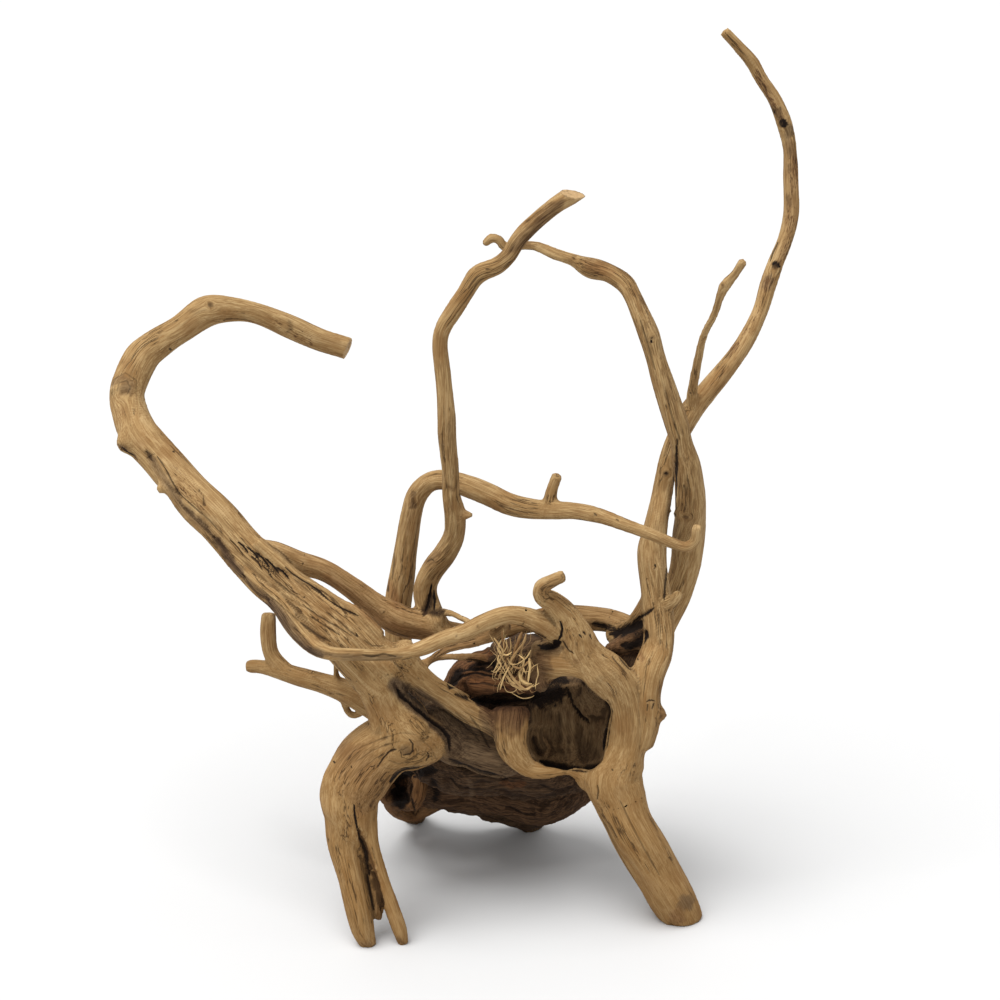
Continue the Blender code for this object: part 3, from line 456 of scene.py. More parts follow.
# Fine cracks: half the width, the depth, how dark, how far back they may lie, and the line on the
# picture plane, (across, up)
CRACKS = [
    # The black gap behind the hook limb's split edge
    (0.29, 1.0, 0.9, FRONT,
     [(-107.5, 191.5), (-104, 188), (-100, 185.5), (-95, 182.5), (-90, 179), (-85, 174.5)]),
    (0.22, 0.8, 0.85, FRONT, [(-85, 174.5), (-80, 171.5), (-75, 169), (-70.5, 167)]),
    # The knob's cracks and wrinkles, and two pits beside it
    (0.24, 1.0, 0.8, FRONT, [(-61.5, 91), (-58.5, 95.5), (-55, 99.5), (-51.5, 100.5)]),
    (0.24, 1.0, 0.8, FRONT, [(-45.5, 105.5), (-43.5, 103), (-43.5, 99.5), (-45, 97.5), (-48.5, 97.5)]),
    (0.24, 0.8, 0.8, FRONT, [(-36, 99), (-35.5, 96.5), (-37, 94.5)]),
    (0.19, 0.4, 0.25, FRONT, [(-74, 99), (-67, 102.5), (-58, 106), (-49, 108.5), (-41, 107.5)]),
    (0.19, 0.4, 0.25, FRONT, [(-72, 94), (-64, 99.5), (-57, 102.5), (-49, 104.5)]),
    (0.19, 0.4, 0.3, FRONT, [(-68, 91), (-62, 96), (-57, 98.5)]),
    (0.24, 0.4, 0.3, FRONT, [(-56, 95), (-51, 93), (-46, 94), (-42, 97), (-40.5, 101)]),
    (0.24, 0.4, 0.25, FRONT, [(-58, 91), (-51, 90), (-44, 91.5), (-38.5, 95.5), (-36.5, 101)]),
    (0.24, 0.4, 0.25, FRONT, [(-40, 106), (-34.5, 101), (-31.5, 95)]),
    (0.29, 0.6, 0.9, FRONT, [(-83.5, 94.5), (-82.5, 93.5)]),
    (0.24, 0.5, 0.8, FRONT, [(-74.5, 92), (-74, 91)]),
    # Where the band's end frays into the strap
    (0.48, 0.6, 0.5, FRONT, [(-15, 117), (-10, 110), (-5, 101)]),
    (0.34, 0.5, 0.5, FRONT, [(-34, 122.5), (-26, 119), (-19, 114), (-12.5, 107)]),
    (0.38, 0.5, 0.4, FRONT, [(-22.5, 119), (-16, 113), (-10, 104)]),
    # The crossing root's end against the rim
    (0.38, 1.4, 1.0, FRONT, [(30, 164.5), (31, 161), (30.5, 157), (29, 154.5)]),
    (0.24, 0.6, 0.8, FRONT, [(31, 155), (34, 150), (37, 148)]),
    # The rim's splits and pits, and the side knob's
    (0.29, 0.6, 0.8, FRONT, [(59.5, 147), (62.5, 143), (65.5, 140)]),
    (0.24, 0.5, 0.6, FRONT, [(56, 147), (60, 142), (63.5, 138)]),
    (0.24, 0.8, 0.9, FRONT, [(39.5, 158), (41, 156)]),
    (0.24, 0.8, 0.9, FRONT, [(41.5, 159.5), (43, 157.5)]),
    (0.24, 0.8, 0.9, FRONT, [(45, 158), (46, 155.5)]),
    (0.29, 0.6, 0.8, FRONT, [(67.5, 147.5), (69, 145)]),
    (0.24, 0.4, 0.7, FRONT, [(56, 90.5), (56.5, 89.5)]),
    (0.24, 0.7, 0.8, FRONT, [(73, 124), (75, 125), (77.5, 124.5)]),
    (0.24, 0.7, 0.75, FRONT, [(77, 123.5), (76, 120)]),
    (0.19, 0.5, 0.7, FRONT, [(74, 123), (73.5, 119.5)]),
    # The decayed chunk's layers and slit
    (0.38, 1.0, 0.8, ANYWHERE, [(-17, 145), (-11, 144.5), (-5, 143), (-1, 144)]),
    (0.34, 0.8, 0.7, ANYWHERE, [(-15, 133), (-8, 133.5), (-1, 132), (5, 130)]),
    (0.48, 1.4, 0.95, ANYWHERE, [(-24, 133), (-19, 137), (-12, 138), (-4, 137), (4, 134)]),
    # The dark body's ledges
    (0.38, 1.0, 0.7, REAR, [(2.5, 72), (10, 69), (18, 67.5)]),
    (0.38, 0.8, 0.6, REAR, [(20, 83), (28, 80), (37, 82)]),
    (0.38, 1.0, 0.7, REAR, [(-25, 86), (-20, 82), (-15, 81)]),
    # The left lobe's core
    (0.38, 0.8, 0.8, REAR, [(-44, 83), (-44.5, 77), (-42.5, 70)]),
    # Along the ribbon on the hook limb's lower edge
    (0.38, 0.8, 0.6, FRONT, [(-69, 147.5), (-64, 146.5), (-58, 148), (-52, 146.5)]),
    (0.24, 0.8, 0.7, ANYWHERE,
     [(-171.5, 247), (-167.5, 241), (-164, 234.5), (-160.5, 228.5), (-156.5, 224.5)]),
    (0.24, 0.6, 0.5, ANYWHERE, [(-157, 225), (-151, 219.5), (-145, 214.5), (-139, 208)]),
    (0.24, 0.4, 0.35, ANYWHERE, [(-177, 245.5), (-175, 247.5), (-172.5, 248)]),
    # Long cracks where the hook limb widens
    (0.29, 1.4, 1.0, ANYWHERE, [(-131, 204), (-128.5, 202), (-126, 198.5)]),
    (0.29, 1.4, 1.0, ANYWHERE, [(-127, 202), (-123.5, 199), (-120.5, 195)]),
    (0.31, 1.4, 1.0, ANYWHERE, [(-122.5, 199), (-119, 196), (-115.5, 191.5)]),
    (0.29, 1.4, 1.0, ANYWHERE, [(-117.5, 196), (-114, 192.5), (-110.5, 188.5)]),
    (0.29, 1.2, 1.0, ANYWHERE, [(-112, 191.5), (-108.5, 189), (-105.5, 185.5)]),
    (0.24, 1.0, 0.9, ANYWHERE, [(-124.5, 197), (-121, 193.5), (-119, 190)]),
    (0.24, 1.0, 0.9, ANYWHERE, [(-119, 192), (-116, 189.5), (-114, 186)]),
    (0.24, 0.8, 0.7, ANYWHERE, [(-135, 205), (-131, 201), (-128.5, 197)]),
    (0.24, 0.8, 0.6, FRONT, [(-99, 173), (-91, 167), (-82, 162), (-74, 157)]),
    (0.24, 0.8, 0.6, FRONT, [(-95, 167), (-87.5, 162), (-80, 157.5)]),
    (0.24, 0.8, 0.6, FRONT, [(-87, 169), (-80, 164), (-71.5, 156.5)]),
    (0.24, 0.6, 0.45, FRONT, [(-100, 164), (-92, 158), (-85, 154)]),
    (0.24, 0.6, 0.4, FRONT, [(-116, 187.5), (-105, 179), (-95, 172)]),
    (0.24, 0.6, 0.4, FRONT, [(-119, 180), (-108, 171), (-100, 164)]),
    (0.29, 0.6, 0.8, FRONT, [(-72, 158.5), (-71, 156.5)]),
    (0.24, 0.5, 0.4, FRONT, [(-68, 155), (-64, 152), (-58, 152)]),
    # The hook limb's flaky and pitted places
    (0.24, 0.4, 0.35, ANYWHERE,
     [(-191.5, 279), (-190.5, 283.5), (-186.5, 284.5), (-184.5, 281), (-186.5, 277.5)]),
    (0.19, 0.3, 0.3, ANYWHERE,
     [(-194, 277), (-193.5, 285), (-187.5, 288.5), (-181.5, 284.5), (-182, 277)]),
    (0.48, 0.6, 0.8, ANYWHERE, [(-189.5, 251), (-186.5, 248), (-183.5, 247)]),
    (0.38, 0.5, 0.9, ANYWHERE, [(-163.5, 249.5), (-162.5, 249)]),
    (0.38, 0.5, 0.8, ANYWHERE, [(-165.5, 300.5), (-164, 300)]),
    # The left leg's split
    (0.34, 1.4, 1.0, FRONT, [(-73, 73), (-72.5, 67), (-71, 59)]),
    (0.24, 1.4, 0.9, FRONT, [(-71, 60), (-68.5, 50), (-65.5, 37)]),
    (0.24, 0.6, 0.8, FRONT, [(-66.5, 38), (-65, 30), (-63, 20)]),
    (0.24, 0.5, 0.5, FRONT, [(-77.5, 72), (-78, 69)]),
    # The right leg's cracks
    (0.24, 0.6, 0.6, FRONT, [(48.5, 82.5), (49, 79), (48.5, 75)]),
    (0.24, 0.5, 0.4, FRONT, [(50, 67.5), (56, 55), (62.5, 42.5), (69, 32)]),
    (0.24, 0.5, 0.4, FRONT, [(60, 75), (66, 62), (73, 49), (80, 37)]),
    (0.24, 0.5, 0.5, FRONT, [(61, 30), (66, 22.5), (72.5, 14)]),
    # The back arch's cracks
    (0.48, 0.5, 0.6, ANYWHERE, [(-57, 184.5), (-56, 179)]),
    (0.24, 0.5, 0.6, ANYWHERE, [(47, 218.5), (48.5, 217)]),
    (0.24, 0.5, 0.6, ANYWHERE, [(58, 215.5), (59.5, 214.5)]),
    (0.29, 0.4, 0.5, ANYWHERE, [(-53.5, 205), (-53, 195), (-54, 185)]),
    # The front upright's torn base, and a crack above it
    (0.43, 1.2, 1.0, ANYWHERE, [(-37.5, 169), (-35.5, 174), (-34.5, 180), (-34, 183)]),
    (0.38, 1.0, 1.0, ANYWHERE, [(-33, 170), (-32, 175), (-33, 180)]),
    (0.24, 0.4, 0.6, ANYWHERE, [(-36.5, 194), (-34.5, 195.5), (-33, 194.5)]),
    # The arch limb's hole and spiral cracks
    (0.43, 1.4, 1.0, ANYWHERE, [(75.5, 305), (76, 303.5)]),
    (0.24, 0.5, 0.5, ANYWHERE, [(70, 315), (74, 302.5), (77.5, 290)]),
    (0.24, 0.5, 0.5, ANYWHERE, [(82.5, 280), (86, 267.5), (90, 255)]),
    (0.38, 0.6, 0.8, ANYWHERE, [(84, 193.5), (83, 185), (82, 175)]),
    # The tall limb's pit and crack
    (0.43, 0.8, 0.9, ANYWHERE, [(77.5, 193), (78, 191.5)]),
    (0.24, 0.4, 0.8, ANYWHERE, [(139, 354), (136, 348), (135, 344)]),
]

# Loose fibres: half the thickness and how far back in millimetres, and the line on the picture plane
FIBRE_LINES = [
    (1.17, -56, [(11, 159), (9.5, 155), (8, 151), (7, 147), (6, 143)]),
    (0.78, -57, [(13, 158), (12, 154), (9, 150), (6.5, 146.5), (4.5, 144)]),
    (0.7, -56, [(1, 159.5), (1.5, 155), (2.5, 150), (3.5, 146.5), (2, 142)]),
    (0.62, -57, [(-3, 156), (-0.5, 152.5), (1.5, 149), (0.5, 146), (-1, 143), (-3, 139.5), (-4.5, 139.5)]),
    (0.55, -55, [(5, 156), (5.5, 151), (4, 147.5), (5, 143), (3.5, 139)]),
    (0.62, -60, [(-0.5, 147.5), (-1, 145), (0.5, 142.5), (-0.5, 140.5), (-2, 139), (-3.5, 139)]),
    (0.7, -60, [(2.5, 143.5), (4, 140), (6, 136.5), (9, 133), (11.5, 131), (13.5, 130)]),
    (0.47, -61, [(4.5, 141.5), (2.5, 137.5), (1, 133.5), (0, 130)]),
    (0.7, -58, [(5.5, 143.5), (7.5, 141.5), (10, 141), (13, 143), (15.5, 145.5)]),
    (0.7, -58, [(14.5, 146), (15, 141.5), (14.5, 137.5), (14, 133.5)]),
    (0.86, -57, [(9.5, 139.5), (10.5, 135.5), (13, 133.5), (16, 133)]),
    (0.47, -59, [(15.5, 150), (13.5, 146.5), (10.5, 144), (7.5, 142.5)]),
    (0.7, -58, [(5.5, 133.5), (9.5, 131), (13.5, 130.5), (16.5, 132.5)]),
    (0.39, -57, [(12, 141), (11, 137.5), (10, 134.5), (10.5, 131.5)]),
    (0.47, -59, [(8, 147.5), (5.5, 144.5), (6.5, 141.5), (4.5, 139)]),
    (0.55, -57, [(-1.5, 151), (0.5, 148.5), (3.5, 147.5), (6, 149)]),
    (0.39, -60, [(1.5, 141), (0, 137), (1.5, 133.5)]),
    (0.55, -58, [(9.5, 147.5), (12, 145), (11.5, 141.5), (13, 138)]),
    (0.39, -61, [(3.5, 146), (5.5, 143), (8.5, 143)]),
    (0.39, -60, [(0.5, 155), (-1, 151), (0.5, 146.5)]),
    (0.47, -56, [(4, 137), (6, 134), (9, 133.5), (12, 135)]),
]

# The wood's strands, as in the part's source: (across, up, back, radius) in millimetres
STRANDS = {
    "hook_limb": [
        (-61.5, 140.5, -50, 15.2), (-74.5, 154, -48, 14.2), (-86, 165.5, -44, 13),
        (-98.5, 176.5, -38, 9.8), (-107.5, 184.5, -34, 8.5), (-119, 195, -28, 8.7),
        (-130, 205, -21, 9), (-142, 218, -13, 9.8), (-154.5, 230, -4, 9.8),
        (-167.5, 243.5, 6, 10.4), (-179.5, 256.5, 16, 10.2), (-185, 269, 26, 9.2),
        (-186.5, 280, 34, 9), (-179, 296, 44, 8.5), (-170, 304, 50, 8),
        (-159, 311, 55, 7.5), (-146.5, 319, 59, 7.5), (-132.5, 320, 62, 6.4),
        (-121, 318, 64, 6), (-107.5, 312.6, 66, 6.2), (-92.5, 306, 67, 6), (-76, 300.8, 68, 5.6),
    ],
    "ridge_root": [
        (-174, 245, 2, 2.5), (-166, 232.5, -7, 3), (-156.5, 219, -13, 3.6),
        (-144, 207.5, -20, 4), (-131.5, 193.3, -27, 4.5), (-121, 182.5, -34.5, 4.6),
        (-111.2, 174, -42, 4.6), (-102.5, 161.5, -51, 4.5), (-94, 152.5, -59, 4.3),
        (-84, 148.2, -66, 3.5), (-72.5, 147.8, -67, 3.3), (-60, 147.5, -66, 3.2),
        (-47.5, 148.5, -64, 3.4), (-37.5, 151.5, -62, 4), (-27.5, 156, -60, 4),
        (-17.5, 159, -57, 4.7), (-7.5, 164, -54, 4.7), (2.5, 167.5, -51, 4.6),
        (11, 167, -49, 5), (20, 163.5, -47, 5.6), (27.5, 159.5, -45, 6), (34, 156.5, -42, 5.5),
    ],
    "edge_strip": [
        (-121, 204, -30, 3), (-110, 194.5, -35, 2.4), (-100, 186, -40, 2), (-90, 181, -43, 1.9),
        (-80, 174.5, -45, 1.9), (-72, 170.2, -47, 2.1), (-66, 164.5, -48, 2.6), (-60, 157.5, -49, 3),
    ],
    "knob": [
        (-61.5, 141, -50, 14), (-57, 126, -50, 11.5), (-51, 114, -50, 15.5), (-46, 106, -50, 16),
        (-38, 104, -49, 13), (-31.5, 103, -48, 9),
    ],
    "left_shoulder": [
        (-50, 106, -50, 15), (-61.5, 98, -51, 16.5), (-71.5, 86, -54, 17), (-75, 76, -57, 14.5),
        (-74.5, 68, -59, 13), (-73.5, 58, -61.5, 10),
    ],
    "left_prong": [
        (-78, 70, -59, 10), (-78, 52.5, -63, 8), (-75, 37.5, -67, 7.2), (-71.5, 22.5, -70, 6.9),
        (-68.5, 10, -71, 6), (-66, 3.5, -71, 4.6), (-65, 0, -71, 3.4),
    ],
    "right_prong": [
        (-68, 68, -60, 6.5), (-65, 52.5, -64, 4.6), (-60, 37.5, -67, 4), (-54.5, 22.5, -69, 4),
        (-50.5, 11, -70, 4.2), (-49, 5.5, -70, 3.4), (-48.5, 2, -70, 3),
    ],
    "splint": [
        (-69, 67.5, -56, 5), (-65, 45, -60, 4.5), (-61, 27.5, -63, 4), (-61, 16, -65, 2),
    ],
    "band": [
        (-52, 147, -50, 11), (-44, 139, -49, 7.5), (-34.3, 131.3, -47, 6.4), (-25, 126, -45, 6.2),
        (-16, 120, -44, 6.4), (-8, 115.5, -43, 6), (0, 110, -41, 5),
    ],
    "face": [
        (-34, 120, -37, 7), (-25, 106, -34, 11), (-12.5, 100, -31, 10.5), (0, 97, -30, 10.5),
        (8, 96, -30, 8),
    ],
    "rim": [
        (22, 146, -39, 9), (28, 145.5, -42, 10), (37, 144.5, -44, 10.5), (46, 142, -44, 11),
        (55, 136, -43, 11), (61, 126, -42, 10), (63.5, 115, -42, 9.5), (63, 104, -42, 10),
        (60, 94, -42, 12.9),
    ],
    "right_leg": [
        (61, 95, -42, 12), (56.5, 86, -43, 14.5), (59.5, 75, -45, 13.4), (63.5, 65, -47, 12.4),
        (69, 55, -48, 12.2), (75, 45, -48, 12.2), (81, 35, -47, 12), (87, 25, -45, 12), (92, 15.5, -43, 10),
    ],
    "strap": [
        (6, 120, -40, 9.5), (5, 111, -45, 9.5), (6, 102, -47, 8.4), (10, 95, -48, 6.2), (15, 90.5, -48, 4.6),
        (22.5, 89.5, -48, 4), (28.5, 90, -47, 3.5), (33.5, 90.2, -46, 2.8), (38.5, 88.5, -45, 3.6),
        (44, 86, -43, 7),
    ],
    "rim_end": [
        (21, 152, -37, 5.5), (20.5, 143, -40, 6), (21, 135, -40, 5.5), (24, 131, -37, 4),
    ],
    "heart_high": [
        (-28, 116, -16, 14), (-12, 112, -8, 17), (8, 116, -2, 20), (28, 118, 0, 22),
        (44, 122, -6, 17), (56, 124, -20, 11),
    ],
    "heart_middle": [
        (-38, 98, -6, 13), (-22, 96, 0, 17), (-4, 96, 4, 18), (16, 96, 4, 20), (34, 98, 0, 19),
        (50, 98, -12, 14),
    ],
    "heart_low": [
        (-55, 79, 12, 6), (-42, 83, 22, 9), (-28, 82, 26, 11), (-10, 82, 26, 12), (8, 79, 26, 13),
        (24, 78, 22, 14), (38, 86, 8, 12),
    ],
    "rear_web": [
        (-36, 80, 36, 8), (-18, 79, 36, 10), (0, 76, 38, 9), (14, 74, 40, 8),
    ],
    "keel_right": [
        (39, 82.5, 12, 5.5), (31, 77, 26, 6.2), (22, 70.3, 38, 6.3), (14, 67, 46, 6),
        (4, 68.5, 46, 5.8), (-4, 71, 43, 6), (-8, 71.8, 42, 6.2),
    ],
    "keel_left": [
        (-14, 78, 36, 4.6), (-26, 77.8, 42, 5.2), (-38, 74, 50, 4.8), (-44, 72.5, 54, 4.4),
    ],
    "right_foot": [
        (16, 78, 36, 9), (15, 68, 48, 6), (15, 60, 56, 5.5),
    ],
    "left_foot": [
        (-40, 78, 44, 6.5), (-42, 70, 57, 5.5), (-43, 64, 66, 5),
    ],
    "scoop_edge": [
        (-56, 77, 8, 3.5), (-53, 71, 26, 3.3), (-45, 67.3, 46, 3.6), (-35, 72.5, 42, 4.4),
        (-27, 81, 24, 6.6),
    ],
    "back_knee": [
        (-30, 108, 14, 15), (-6, 106, 26, 18), (18, 106, 28, 18), (38, 110, 18, 15),
        (56, 118, -2, 12),
    ],
    "torn_heart": [
        (50, 132, -18, 12), (58, 142, -14, 9), (64, 151, -11, 8), (70, 155, -9, 8),
        (77, 151, -14, 8),
    ],
    "chunk": [
        (-22, 129, -22, 7), (-14, 137, -19, 10), (2, 139, -18, 11), (16, 137, -24, 9),
        (26, 141, -34, 8),
    ],
    "pocket": [
        (0, 146, -20, 8), (14, 150, -26, 8), (28, 150, -32, 8),
    ],
    "left_lobe": [
        (-56, 78, 2, 5), (-53, 84, 16, 8), (-46, 78, 24, 9), (-42, 84, 32, 9),
    ],
    "lobe_core": [
        (-40, 86, 8, 4), (-41, 78, 6, 4), (-44, 72, 8, 3.2),
    ],
    "chunk_lip": [
        (-15, 133, -31, 4.2), (-2, 131.5, -35, 5), (12, 131, -34, 5),
    ],
    "tall_limb": [
        (69, 104, -42, 8), (72, 117.5, -41, 8.4), (72.2, 127.5, -40, 8.3), (74.6, 140, -36, 8.3),
        (78.5, 150, -28, 8), (79.5, 160, -24, 7.6), (78.5, 172.5, -18, 7.6), (77, 185, -12, 7.5),
        (76, 197.5, -6, 7), (78, 212.5, -2, 6), (80.5, 225, 11, 5.5), (82.5, 235, 15, 5.3),
        (85, 247.5, 18, 5), (90, 259, 22, 5.2), (96, 270, 27, 5.8), (103.5, 279, 32, 5.4),
        (112.5, 290, 38, 5), (122.5, 304, 45, 4.5), (130, 319, 52, 4.2), (134, 332.5, 58, 4.5),
        (138, 344, 63, 4.2), (142.5, 355, 67, 4), (145.5, 367.5, 71, 4), (145.5, 384, 75, 3.7),
        (145, 400, 78, 3.4), (142.5, 412.5, 80, 4), (137.5, 425, 81, 3.5), (131, 435, 81, 3.5),
        (126, 444, 81, 3.4), (119.5, 451.5, 80, 2.9), (112.5, 459, 79, 2.6),
    ],
    "tall_flank": [
        (75, 176, -14, 4.5), (70, 166.5, -12, 4.8), (63, 159.5, -8, 4.8), (56, 157.5, -2, 5),
    ],
    "tall_twig": [
        (96, 268, 26, 4), (96.5, 281, 22, 2.7), (99, 295, 16, 2.3), (102, 307.5, 11, 2.1),
        (107, 317.5, 6, 2.1), (110, 326.5, 2, 2.2), (112.5, 332, 0, 2.8), (117.5, 338, -2, 2.3),
        (121.5, 344, -4, 2.6),
    ],
    "arch_limb": [
        (76, 148, -6, 6), (82, 163, 6, 6.4), (88, 176, 13, 7), (92.6, 192.5, 14, 7.6),
        (94.5, 210, 10, 7.8), (95.5, 225, -5, 7.8), (93.5, 241, -13, 7), (90.5, 253.5, -17, 5.8),
        (87.5, 265, -19, 6.2), (84, 276, -19, 6.1), (80.5, 287, -19, 5.7), (77.5, 297.5, -18, 5.3),
        (74.5, 307.5, -17, 5.5), (70.5, 317.5, -15, 5.1), (66.5, 326.5, -12, 4.6),
        (62.5, 333, -8, 4.8), (54, 338.5, -3, 4.7), (45, 341, 2, 5.4), (36.5, 345, 7, 3.3),
        (27.5, 348, 11, 3), (17.5, 352, 14, 2.5), (9, 352, 16, 2.4), (2.5, 351.5, 17, 2.4),
        (-0.5, 355, 17, 2.4), (-4.5, 356, 17, 2.4), (-7.5, 353, 17, 2.2),
    ],
    "back_arch": [
        (-34, 112, -4, 8), (-43, 128, 10, 6.5), (-49, 145, 18, 6.3), (-51, 160, 22, 6.7),
        (-50.5, 175, 24, 6.8), (-48.5, 190, 25, 6.3), (-46.5, 205, 26, 5.9), (-44.5, 217.5, 26, 5.5),
        (-41.5, 227.5, 25, 5.3), (-35, 234, 22, 5), (-26.5, 235, 18, 5.1), (-16, 232, 12, 5.7),
        (-5, 227.5, 6, 5.7), (5, 223, 0, 5.6), (16, 220.5, -6, 5.3), (26, 220, -11, 5),
        (37.5, 219.5, -17, 4.2), (50, 217, -23, 3.9), (62.5, 212.5, -28, 3.4),
        (75, 208, -32, 3.1), (86, 203.5, -35, 3), (93, 201.5, -37, 2.8), (97.5, 204.5, -38, 2.7),
        (98.5, 211.5, -39, 2.6),
    ],
    "back_arch_stub": [
        (24, 220, -10, 4), (26, 230, -10, 3.2), (28.5, 237, -11, 3),
    ],
    "upright": [
        (-32, 163, -2, 6.5), (-36, 172.5, 2, 6.2), (-37.5, 181, 3, 6), (-34.2, 189.3, 1, 6),
        (-27.7, 198, -3, 5.7), (-23, 207.2, -7, 5.4), (-22.5, 216.5, -10, 5.5),
        (-24.5, 227.5, -13, 4.6), (-25, 240, -16, 4.5), (-26.5, 255, -19, 4.6),
        (-27, 270, -21, 4.6), (-28.5, 287.5, -22, 4.2), (-30, 302.5, -22, 4.1),
        (-28.5, 311, -22, 4.2), (-23, 320, -21, 4.3), (-17.5, 328.5, -20, 4.2),
        (-11.5, 337.5, -19, 4.8), (-2, 342, -18, 4.6), (4, 347, -17, 4.5), (8, 353.5, -17, 4.4),
        (12.5, 359, -16, 4.4), (20, 366, -15, 4.4), (28, 372.5, -14, 4.6), (36.5, 378, -13, 5.2),
    ],
    "upright_stub": [
        (-22, 216.5, -11, 3), (-17.5, 217.5, -13, 2.2), (-14.5, 217.5, -14, 1.8),
    ],
    "long_root": [
        (-125, 202, -22, 4.8), (-112.5, 199, -20, 5.6), (-100, 193.7, -17, 5.9),
        (-87.5, 189.6, -14, 5.6), (-75, 181.4, -11, 5.7), (-62.5, 172, -8, 6.4),
        (-51, 165, -6, 8.2), (-38, 161.5, -3, 6.8), (-25, 159, 0, 5.5), (-10, 158, 4, 5.2),
        (10, 162.5, 8, 5.2), (27.5, 166.5, 10, 5.5), (42.5, 166, 9, 6.4), (56, 164, 5, 6),
        (67.5, 159, -3, 6.5), (76, 152.5, -14, 7),
    ],
    "torn_spur": [
        (54, 151, -24, 2), (62, 153, -18, 4.5), (72, 157, -14, 7), (78, 160, -16, 7),
    ],
    "curl_stub": [
        (47, 140, -44, 12), (40.8, 149.2, -45, 10.2), (38, 158, -46, 8.6), (33, 167.5, -47, 6.6),
        (27, 173.5, -48, 5.6), (21.5, 177, -50, 4.8), (21, 181.5, -52, 4.2), (25, 184, -54, 3.8),
        (31.5, 187, -55, 3.5),
    ],
    "low_branch": [
        (-30, 106, -12, 10), (-50, 114, -8, 8), (-64, 122, -4, 6.3), (-75, 128.5, 2, 6),
        (-87.5, 133, 10, 5.5), (-100, 136.5, 18, 5), (-110, 139.5, 24, 4.5), (-119, 141.5, 29, 3.6),
        (-125.5, 142, 32, 3.3),
    ],
    "low_spur": [
        (-106, 138, 22, 4.5), (-114.2, 147.5, 27, 4.1), (-116, 157.5, 30, 4.2), (-115.7, 167.5, 33, 3.7),
    ],
    "low_twig": [
        (-81.5, 131, 6, 1.8), (-82, 141, 4, 1.5), (-81.5, 150, -6, 1.5), (-80.5, 157, -24, 1.5),
    ],
    "low_loop": [
        (-79, 129, 5, 2.2), (-77, 121, 4, 1.8), (-74, 117.5, 2, 1.8), (-69, 119, -2, 1.9),
        (-66, 124, -4, 2.4),
    ],
    "rootlet_long": [
        (-38, 141, -40, 1.6), (-33, 146.5, -41, 1.8), (-25, 151, -43, 2.1), (-12.5, 154, -45, 2.4),
        (-2, 157.5, -47, 2.6), (4, 162, -48, 2.8),
    ],
    "rootlet_low": [
        (-43, 142, -42, 1.8), (-31, 146, -38, 1.7), (-19, 146.5, -33, 1.9), (-8, 146, -24, 2.4),
    ],
    "rootlet_upright": [
        (-33, 169, -1, 2.4), (-25, 168.5, -7, 1.8), (-18.5, 165.6, -16, 1.7), (-11, 162.5, -30, 1.9),
        (-4, 164, -48, 2.4),
    ],
    "fibres": [
        (4, 163.5, -51, 3), (4.5, 158, -53, 3), (7, 152, -55, 4), (4.5, 144, -55, 5.5),
        (6, 135, -54, 4.5), (11, 126, -53, 2),
    ],
    "fibres_left": [
        (6, 145, -56, 4), (0.5, 147.5, -59, 3), (-2.5, 149, -61, 1.8),
    ],
    "fibres_right": [
        (6, 144, -55, 4), (12, 139, -55, 3.4), (14.5, 132, -55, 2),
    ],
    "hook_burl": [
        (-180, 263, 20, 8), (-184, 256, 15, 7.5), (-186.5, 251.5, 11, 6),
    ],
    "hook_spur_high": [
        (-188, 279, 30, 3.5), (-194.5, 280.5, 28, 1.9),
    ],
    "hook_spur_low": [
        (-164, 234, -6, 4), (-170.5, 230, -7, 2.2),
    ],
    "tall_knob": [
        (82, 172, -22, 4), (87.5, 175.5, -24, 3.2), (89.5, 178.5, -24, 2.4),
    ],
    "side_knob": [
        (75, 120, -40, 6.5), (79.8, 117.4, -41, 4), (81, 116.4, -41, 3),
    ],
}

# A strand's depth for its width, where it isn't round
FLATNESS = {
    "hook_limb": 0.85, "strap": 0.5, "band": 0.8, "chunk_lip": 0.6, "keel_left": 0.8,
}

# Grooves: strands of rotten wood that have gone
GROOVES = {
    "knob_groove": [
        (-52.5, 132.5, -62, 3.2), (-46, 128, -59, 4.6), (-39.5, 123, -55, 5.2), (-33, 117.5, -52, 5.4),
        (-27, 111.5, -50, 5.4), (-22.5, 104, -48, 5.4), (-21, 95, -46, 5),
    ],
}

# The main hollow's outline on the picture plane, (across, up), clockwise from its upper left
HOLLOW_RIM = [
    (22.5, 130), (25, 134), (30, 137), (36, 137), (41, 135.5), (45, 131), (50, 126.5), (54, 124),
    (56, 120), (54.5, 114), (53.5, 107.5), (52.5, 100), (51.5, 94.5), (48.5, 92), (45.5, 89.5),
    (41.5, 90.5), (37, 91), (33, 89.5), (27.5, 91), (22.5, 91.5), (18, 94.5), (14.5, 98.5),
    (13, 104), (13.5, 110), (16.5, 114), (16, 119), (14, 123.5), (17.5, 127),
]

# How the hollow runs in from its outline: how far back, and its width as a share of the outline's
HOLLOW_RINGS = [(-75, 1), (-38, 1), (-30, 1.04), (-20, 1), (-12, 0.85), (-6, 0.6), (-3, 0.3)]

# Smaller hollows: a station's place and the hollow's half width, height and depth
POCKETS = [
    (3, 125.5, -36, 23, 3.2, 13),
    (-50, 80, 2, 8, 9, 15),
]

# Strands that loose fibres stand for
FIBRE_STRANDS = ("fibres", "fibres_left", "fibres_right")


def placed(across, up, back):
    """A station's place, in metres, and how much it grew by lying further off."""
    side, rise = across * MM, up * MM - PICTURE_MIDDLE_UP
    tilt_sin, tilt_cos = math.sin(SIGHT_TILT), math.cos(SIGHT_TILT)
    depth = (back * MM - rise * tilt_sin) / (tilt_cos + rise * tilt_sin / SIGHT_DISTANCE)
    growth = 1 + depth / SIGHT_DISTANCE
    seen = Vector((side * growth, back * MM, rise * growth * tilt_cos - depth * tilt_sin))
    return PICTURE_MIDDLE + seen, growth


